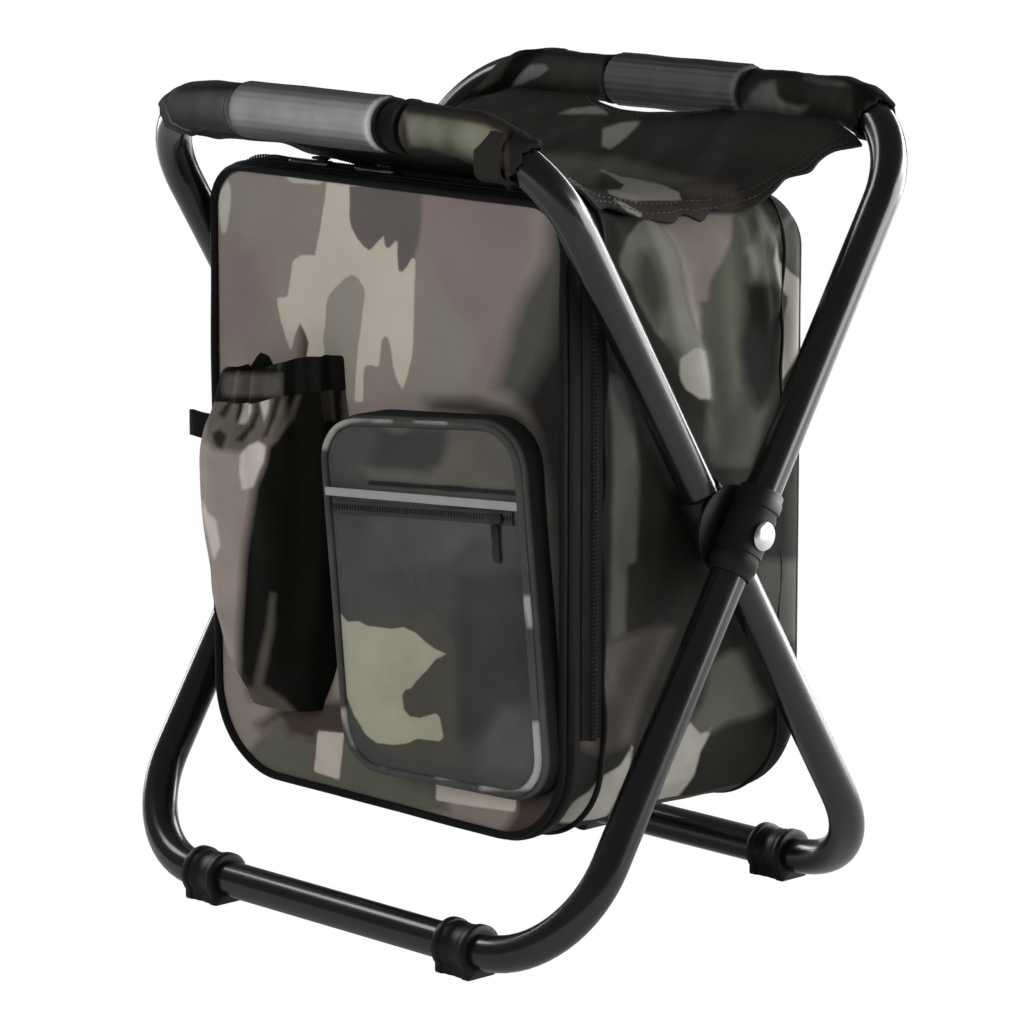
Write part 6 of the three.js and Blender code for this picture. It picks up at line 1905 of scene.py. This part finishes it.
def pouch_ring(share, inset, grow=0.0, rim=0.0):
    """One ring of the pouch: an arc in front and a flat wall against the door."""
    half, depth, shift = (float(size) for size in pouch_sizes(share))
    turn = np.linspace(0.0, np.pi, POUCH_ARC)
    square = 1.0 / (np.abs(np.cos(turn)) ** 2.4 + np.abs(np.sin(turn)) ** 2.4) ** (1 / 2.4)
    gathers = 2.3 * np.sin(turn * 15 + 0.6 * np.sin(turn * 4)) + 1.2 * np.sin(turn * 26 + 1.0)
    gathers = gathers * float(eased(share, 0.70, 0.98)) ** 1.2
    height = share * BOTTLE_TALL
    where = np.stack([np.degrees(turn) * 0.75, np.full(len(turn), height)], 1)
    folds = np.zeros(len(turn))
    for path, width, rise in BOTTLE_FOLDS:
        folds += ridge(where, [(a * 0.75, b * BOTTLE_TALL) for a, b in path], width, rise)
    folds += 0.7 * ripple(where, 38.0, 71)
    fade = float(eased(share, 0.0, 0.12)) * (1 - 0.5 * float(eased(share, 0.94, 1.0)))
    sides = np.sin(turn) ** 0.35
    push = (folds * fade + gathers) * sides - inset + grow
    x = BOTTLE_X + shift - np.cos(turn) * (half * square + push)
    y = POCKET_BACK - np.sin(turn) * (depth * square + push)
    at_mouth = float(eased(share, 0.72, 1.0))
    z = BOTTLE_LOW + height + mouth_rise(turn) * at_mouth + rim
    back_share = np.linspace(0.0, 1.0, POUCH_BACK + 2)[1:-1]
    back_x = x[-1] + (x[0] - x[-1]) * back_share
    back_z = BOTTLE_LOW + height + np.interp(back_share, BACK_SHARES, BACK_RISES) * at_mouth + rim
    arc = points_at(x, np.minimum(y, POCKET_BACK - inset), z)
    return np.concatenate([arc, points_at(back_x, POCKET_BACK - inset, back_z)])


shares = np.linspace(0.0, MOUTH_TOP, POUCH_ROWS)
floor_rings = [pouch_ring(0.0, 12.0, rim=0.4), pouch_ring(0.0, 4.0, rim=-0.6)]
outer = floor_rings + [pouch_ring(s, 0.0) for s in shares]
inner = [pouch_ring(s, 1.6) for s in shares[::-3] if s > 0.03] + [pouch_ring(0.03, 8.0)]
BOTTLE_PATCHES = {
    "bottle_olive": (colour(0.095, 0.085, 0.068), 2.0, [
        [205,392, 246,392, 270,395, 300,392, 280,436, 262,446, 240,452, 215,450, 203,440],
    ]),
    "bottle_low": (colour(0.080, 0.068, 0.058), 3.0, [
        [228,690, 240,680, 262,672, 300,660, 330,690, 330,760, 228,760],
        [200,545, 207,560, 212,640, 222,700, 205,700],
    ]),
    # Painted shade on the pouch's right side, which turns away from the light, over dark print.
    "bottle_shade_and_dark_print": (colour(0.003, 0.003, 0.002), 3.0, [
        [284,372, 345,350, 350,740, 300,720, 262,700, 237,688, 238,640, 243,560, 245,540, 250,514, 254,488,
         264,462, 266,446, 276,436, 284,412],
    ]),
    "bottle_streak": (colour(0.060, 0.053, 0.043), 1.5, [
        [270,592, 276,594, 274,628, 268,660, 262,690, 252,690, 258,660, 266,628],
        [320,372, 330,372, 334,420, 326,420], [296,396, 300,396, 292,420, 280,434, 277,430, 288,414],
        [240,690, 262,684, 286,700, 300,716, 280,724, 240,720],
    ]),
    # Painted shade in the grooves between the gathers under the hem.
    "bottle_groove_shade": (colour(0.018, 0.014, 0.011), 1.0, [
        [231,390, 236,390, 233,402, 224,418, 219,414, 228,402],
        [240,392, 246,392, 244,404, 240,420, 236,420, 239,404],
        [254,392, 258,392, 260,414, 254,428, 242,442, 236,440, 250,424, 256,410],
        [276,392, 284,392, 276,416, 268,436, 262,438, 270,416],
        [210,432, 220,430, 226,436, 222,450, 216,446],
    ]),
    # Pale print patches; the two short outlines under the hem are painted light on gather ridges.
    "bottle_pale_and_ridge_light": (colour(0.40, 0.36, 0.33), 0.8, [
        [240,455, 248,446, 258,441, 266,446, 264,461, 258,474, 253,487, 242,490, 239,472],
        [202,500, 207,512, 216,520, 220,545, 214,560, 210,545, 204,520],
        [246,394, 250,396, 252,410, 246,424, 239,424, 243,410],
        [258,392, 270,392, 268,412, 264,422, 261,408],
    ]),
    # Painted shade: the inside of the cup is near-black.
    "bottle_inside_shade": (colour(0.003, 0.003, 0.003), 0.5, []),
}
bottle_cloth = printed_and_painted_cloth(
    "bottle_pocket_camouflage", colour(0.22, 0.188, 0.165), BOTTLE_PATCHES, spread=0.14, clouds=26.0,
    ragged=0.7,
)
pouch = loft("bottle_pocket_cloth", np.array(outer + inner), bottle_cloth)
settled(pouch, "front_door", "bag_cloth", "bottle_pocket")
ring_size = POUCH_ARC + POUCH_BACK
numbers = np.arange(len(pouch.data.vertices))
stored(pouch, "bottle_inside_shade", np.where(numbers >= len(outer) * ring_size, 5.0, FAR_OUTSIDE))
paint_seen(pouch, BOTTLE_PATCHES)
print(pouch.name, len(pouch.data.polygons), "faces")

# %% The elastic hem and the side tab
hem_steps = [
    (0.955, -0.6), (0.965, 0.9), (1.0, 1.3), (1.03, 1.3), (1.052, 1.0), (1.062, -0.2), (1.052, -2.2),
    (1.0, -2.4), (0.962, -2.2),
]
hem_rings = np.array([pouch_ring(share, 0.4, grow=grow) for share, grow in hem_steps]).transpose(1, 0, 2)
HEM_PATCHES = {
    "hem_grey": (colour(0.07, 0.065, 0.06), 1.5, [[222,374, 282,374, 282,396, 222,396]]),
}
hem_cloth = printed_and_painted_cloth("elastic_hem", colour(0.006, 0.006, 0.005), HEM_PATCHES, spread=0.2)
hem_piece = loft("bottle_pocket_elastic_hem", hem_rings, hem_cloth, ends="joined")
paint_seen(hem_piece, HEM_PATCHES)
settled(hem_piece, "front_door", "binding", "bottle_pocket_hem")

TAB_ROUTE = [
    (-127.5, -87.6, 233.0), (-133.0, -88.6, 233.6), (-138.5, -89.2, 233.4), (-142.2, -88.8, 232.8),
]
tab_line = curve_through(TAB_ROUTE, 26)
tab_width = np.linspace(-6.5, 6.5, 13)
tab_grid = tab_line[:, None, :] + points_at(0.0, 0.0, tab_width)[None]
tab_grid[:, :, 2] += 0.8 * np.sin(tab_line[:, 0] / 4.0)[:, None]
settled(thick_sheet("side_tab_webbing", tab_grid, 1.8, band_cloth), "front_door", "binding", "side_tab")
print("bottle pocket dressed")

# %% [markdown]
# ## Shoulder straps
# The bag can be carried on the back. Each padded strap leaves the back near the top, bulges out and
# ends in a plastic adjuster, from which thin webbing runs to the lower corner. Nothing of this is in
# the photo, so it follows the CAD model: a cushion-like ribbon with bound edges and quilting lines.

# %% Straps, adjusters and webbing
STRAP_TOP, STRAP_LOW = (46.0, 322.0), (70.0, 146.0)
STRAP_HALF, STRAP_HALF_THICK = 27.0, 4.5
STRAP_BULGE = 27.0
STRAP_ROUTE = [(0.0, 0.0), (0.12, 0.3), (0.35, 0.85), (0.6, 1.0), (0.85, 0.8), (1.0, 0.55)]
STRAP_BACK = BAG_REAR + 0.3 + STRAP_HALF_THICK
strap_cloth = woven_finish("black_padded_cloth", colour(0.014, 0.014, 0.013), pitch=0.0014, relief=0.0002)
QUILT_PITCH = 22.0


def strap_section(along, half, thick):
    """A padded strap's section: full in the middle, thin at its bound edges, hollow at a seam."""
    turn = np.arange(56) * (2 * np.pi / 56)
    across = np.sign(np.cos(turn)) * np.abs(np.cos(turn)) ** 0.55 * half
    from_seam = (along + QUILT_PITCH / 2) % QUILT_PITCH - QUILT_PITCH / 2
    quilt = 1.0 - 0.32 * np.exp(-0.5 * (from_seam / 1.6) ** 2)
    edge = 1.0 - 0.45 * eased(np.abs(across), half - 7.0, half - 4.5)
    rise = np.sign(np.sin(turn)) * np.abs(np.sin(turn)) ** 0.5 * thick * edge * quilt
    return np.stack([across, rise], 1)


def straight_ribbon(name, route, half, thick, count, material, quilted=False):
    """A ribbon or padded strap along a route behind the bag."""
    line = curve_through(route, count)
    steps = np.linalg.norm(np.diff(line, axis=0), axis=1)
    along = np.concatenate([[0.0], np.cumsum(steps)])
    sections = []
    for place in along:
        closing = min(1.0, 0.35 + place / 6.0, 0.35 + (along[-1] - place) / 6.0)
        if quilted:
            sections.append(strap_section(place, half * min(1.0, 0.9 + closing * 0.1), thick * closing))
        else:
            sections.append(rounded_loop(half, -thick, thick, thick * 0.9, thick * 0.9, 4, 40))
    rings = carried(line, np.array(sections), up=(0.0, 1.0, 0.0))
    return loft(name, rings, material)


def slotted_plate(name, x, y, z, material):
    """The adjuster: a rounded plastic frame and the round bar across its middle."""
    frame_line = rounded_loop(15.0, -11.0, 11.0, 4.0, 4.0, 5, 72) + np.array([x, z])
    rim = cord_round(name + "_rim", np.insert(frame_line, 1, y, axis=1), 2.3, material, sides=14)
    across = resampled(np.array([(x - 14.0, y, z), (x, y + 0.4, z), (x + 14.0, y, z)]), 12)
    return rim, cord_round(name + "_bar", across, 2.2, material, closed=False, sides=14, up=(0, 0, 1))


for side, word in ((-1, "left"), (1, "right")):
    route = []
    for share, bulge in STRAP_ROUTE:
        x = side * (STRAP_TOP[0] + (STRAP_LOW[0] - STRAP_TOP[0]) * share)
        z = STRAP_TOP[1] + (STRAP_LOW[1] - STRAP_TOP[1]) * share
        route.append((x, STRAP_BACK + bulge * STRAP_BULGE, z))
    strap = straight_ribbon(
        f"padded_strap_{word}", route, STRAP_HALF, STRAP_HALF_THICK, 130, strap_cloth, True
    )
    settled(strap, "bag", "strap_padding", f"shoulder_strap_{word}")
    x, y, z = route[-1]
    buckle_z = z - 0.9 - 12.0
    rim, bar = slotted_plate(f"strap_buckle_{word}", x, y + 0.5, buckle_z, plastic)
    settled(rim, "bag", "black_plastic", f"strap_adjuster_{word}")
    settled(bar, "bag", "black_plastic")
    low = buckle_z - 10.0
    path = [
        (x, y + 0.4, low + 2.0), (side * 75.6, BAG_REAR + 6.3, (low + 106.0) / 2),
        (side * 84.0, BAG_REAR + 1.8, 106.0), (side * 84.0, BAG_REAR + 1.4, 94.0),
    ]
    tape = straight_ribbon(f"strap_tape_{word}", path, 10.0, 0.9, 50, binding)
    settled(tape, "bag", "binding", f"strap_webbing_{word}")
print("straps made")

# %% [markdown]
# ## The pieces that stay as the CAD model has them
# The foil linings and the front panel's foam are seen only when the door is open. Their CAD meshes
# are smooth enough, so they keep their shape and get a finish of their own. The bag's own foam was
# made beside its shell.

# %% Finishes for the linings and the front panel's foam
CAD_FINISHES = {"bag_lining": foil, "front_panel_lining": foil, "front_panel_insulation": foam}
for node, material in CAD_FINISHES.items():
    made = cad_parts[node]
    made.data.materials.clear()
    made.data.materials.append(material)
print("finished as they are:", list(CAD_FINISHES))

# %% [markdown]
# ## The size, and the end
# The dressed stool's box is printed in metres; the floor is left out. The dressed stool must stay
# inside the CAD model's box, apart from cloth that may stand a little proud.

low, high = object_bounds()
print("visual box in metres:", [round(side, 4) for side in high - low])
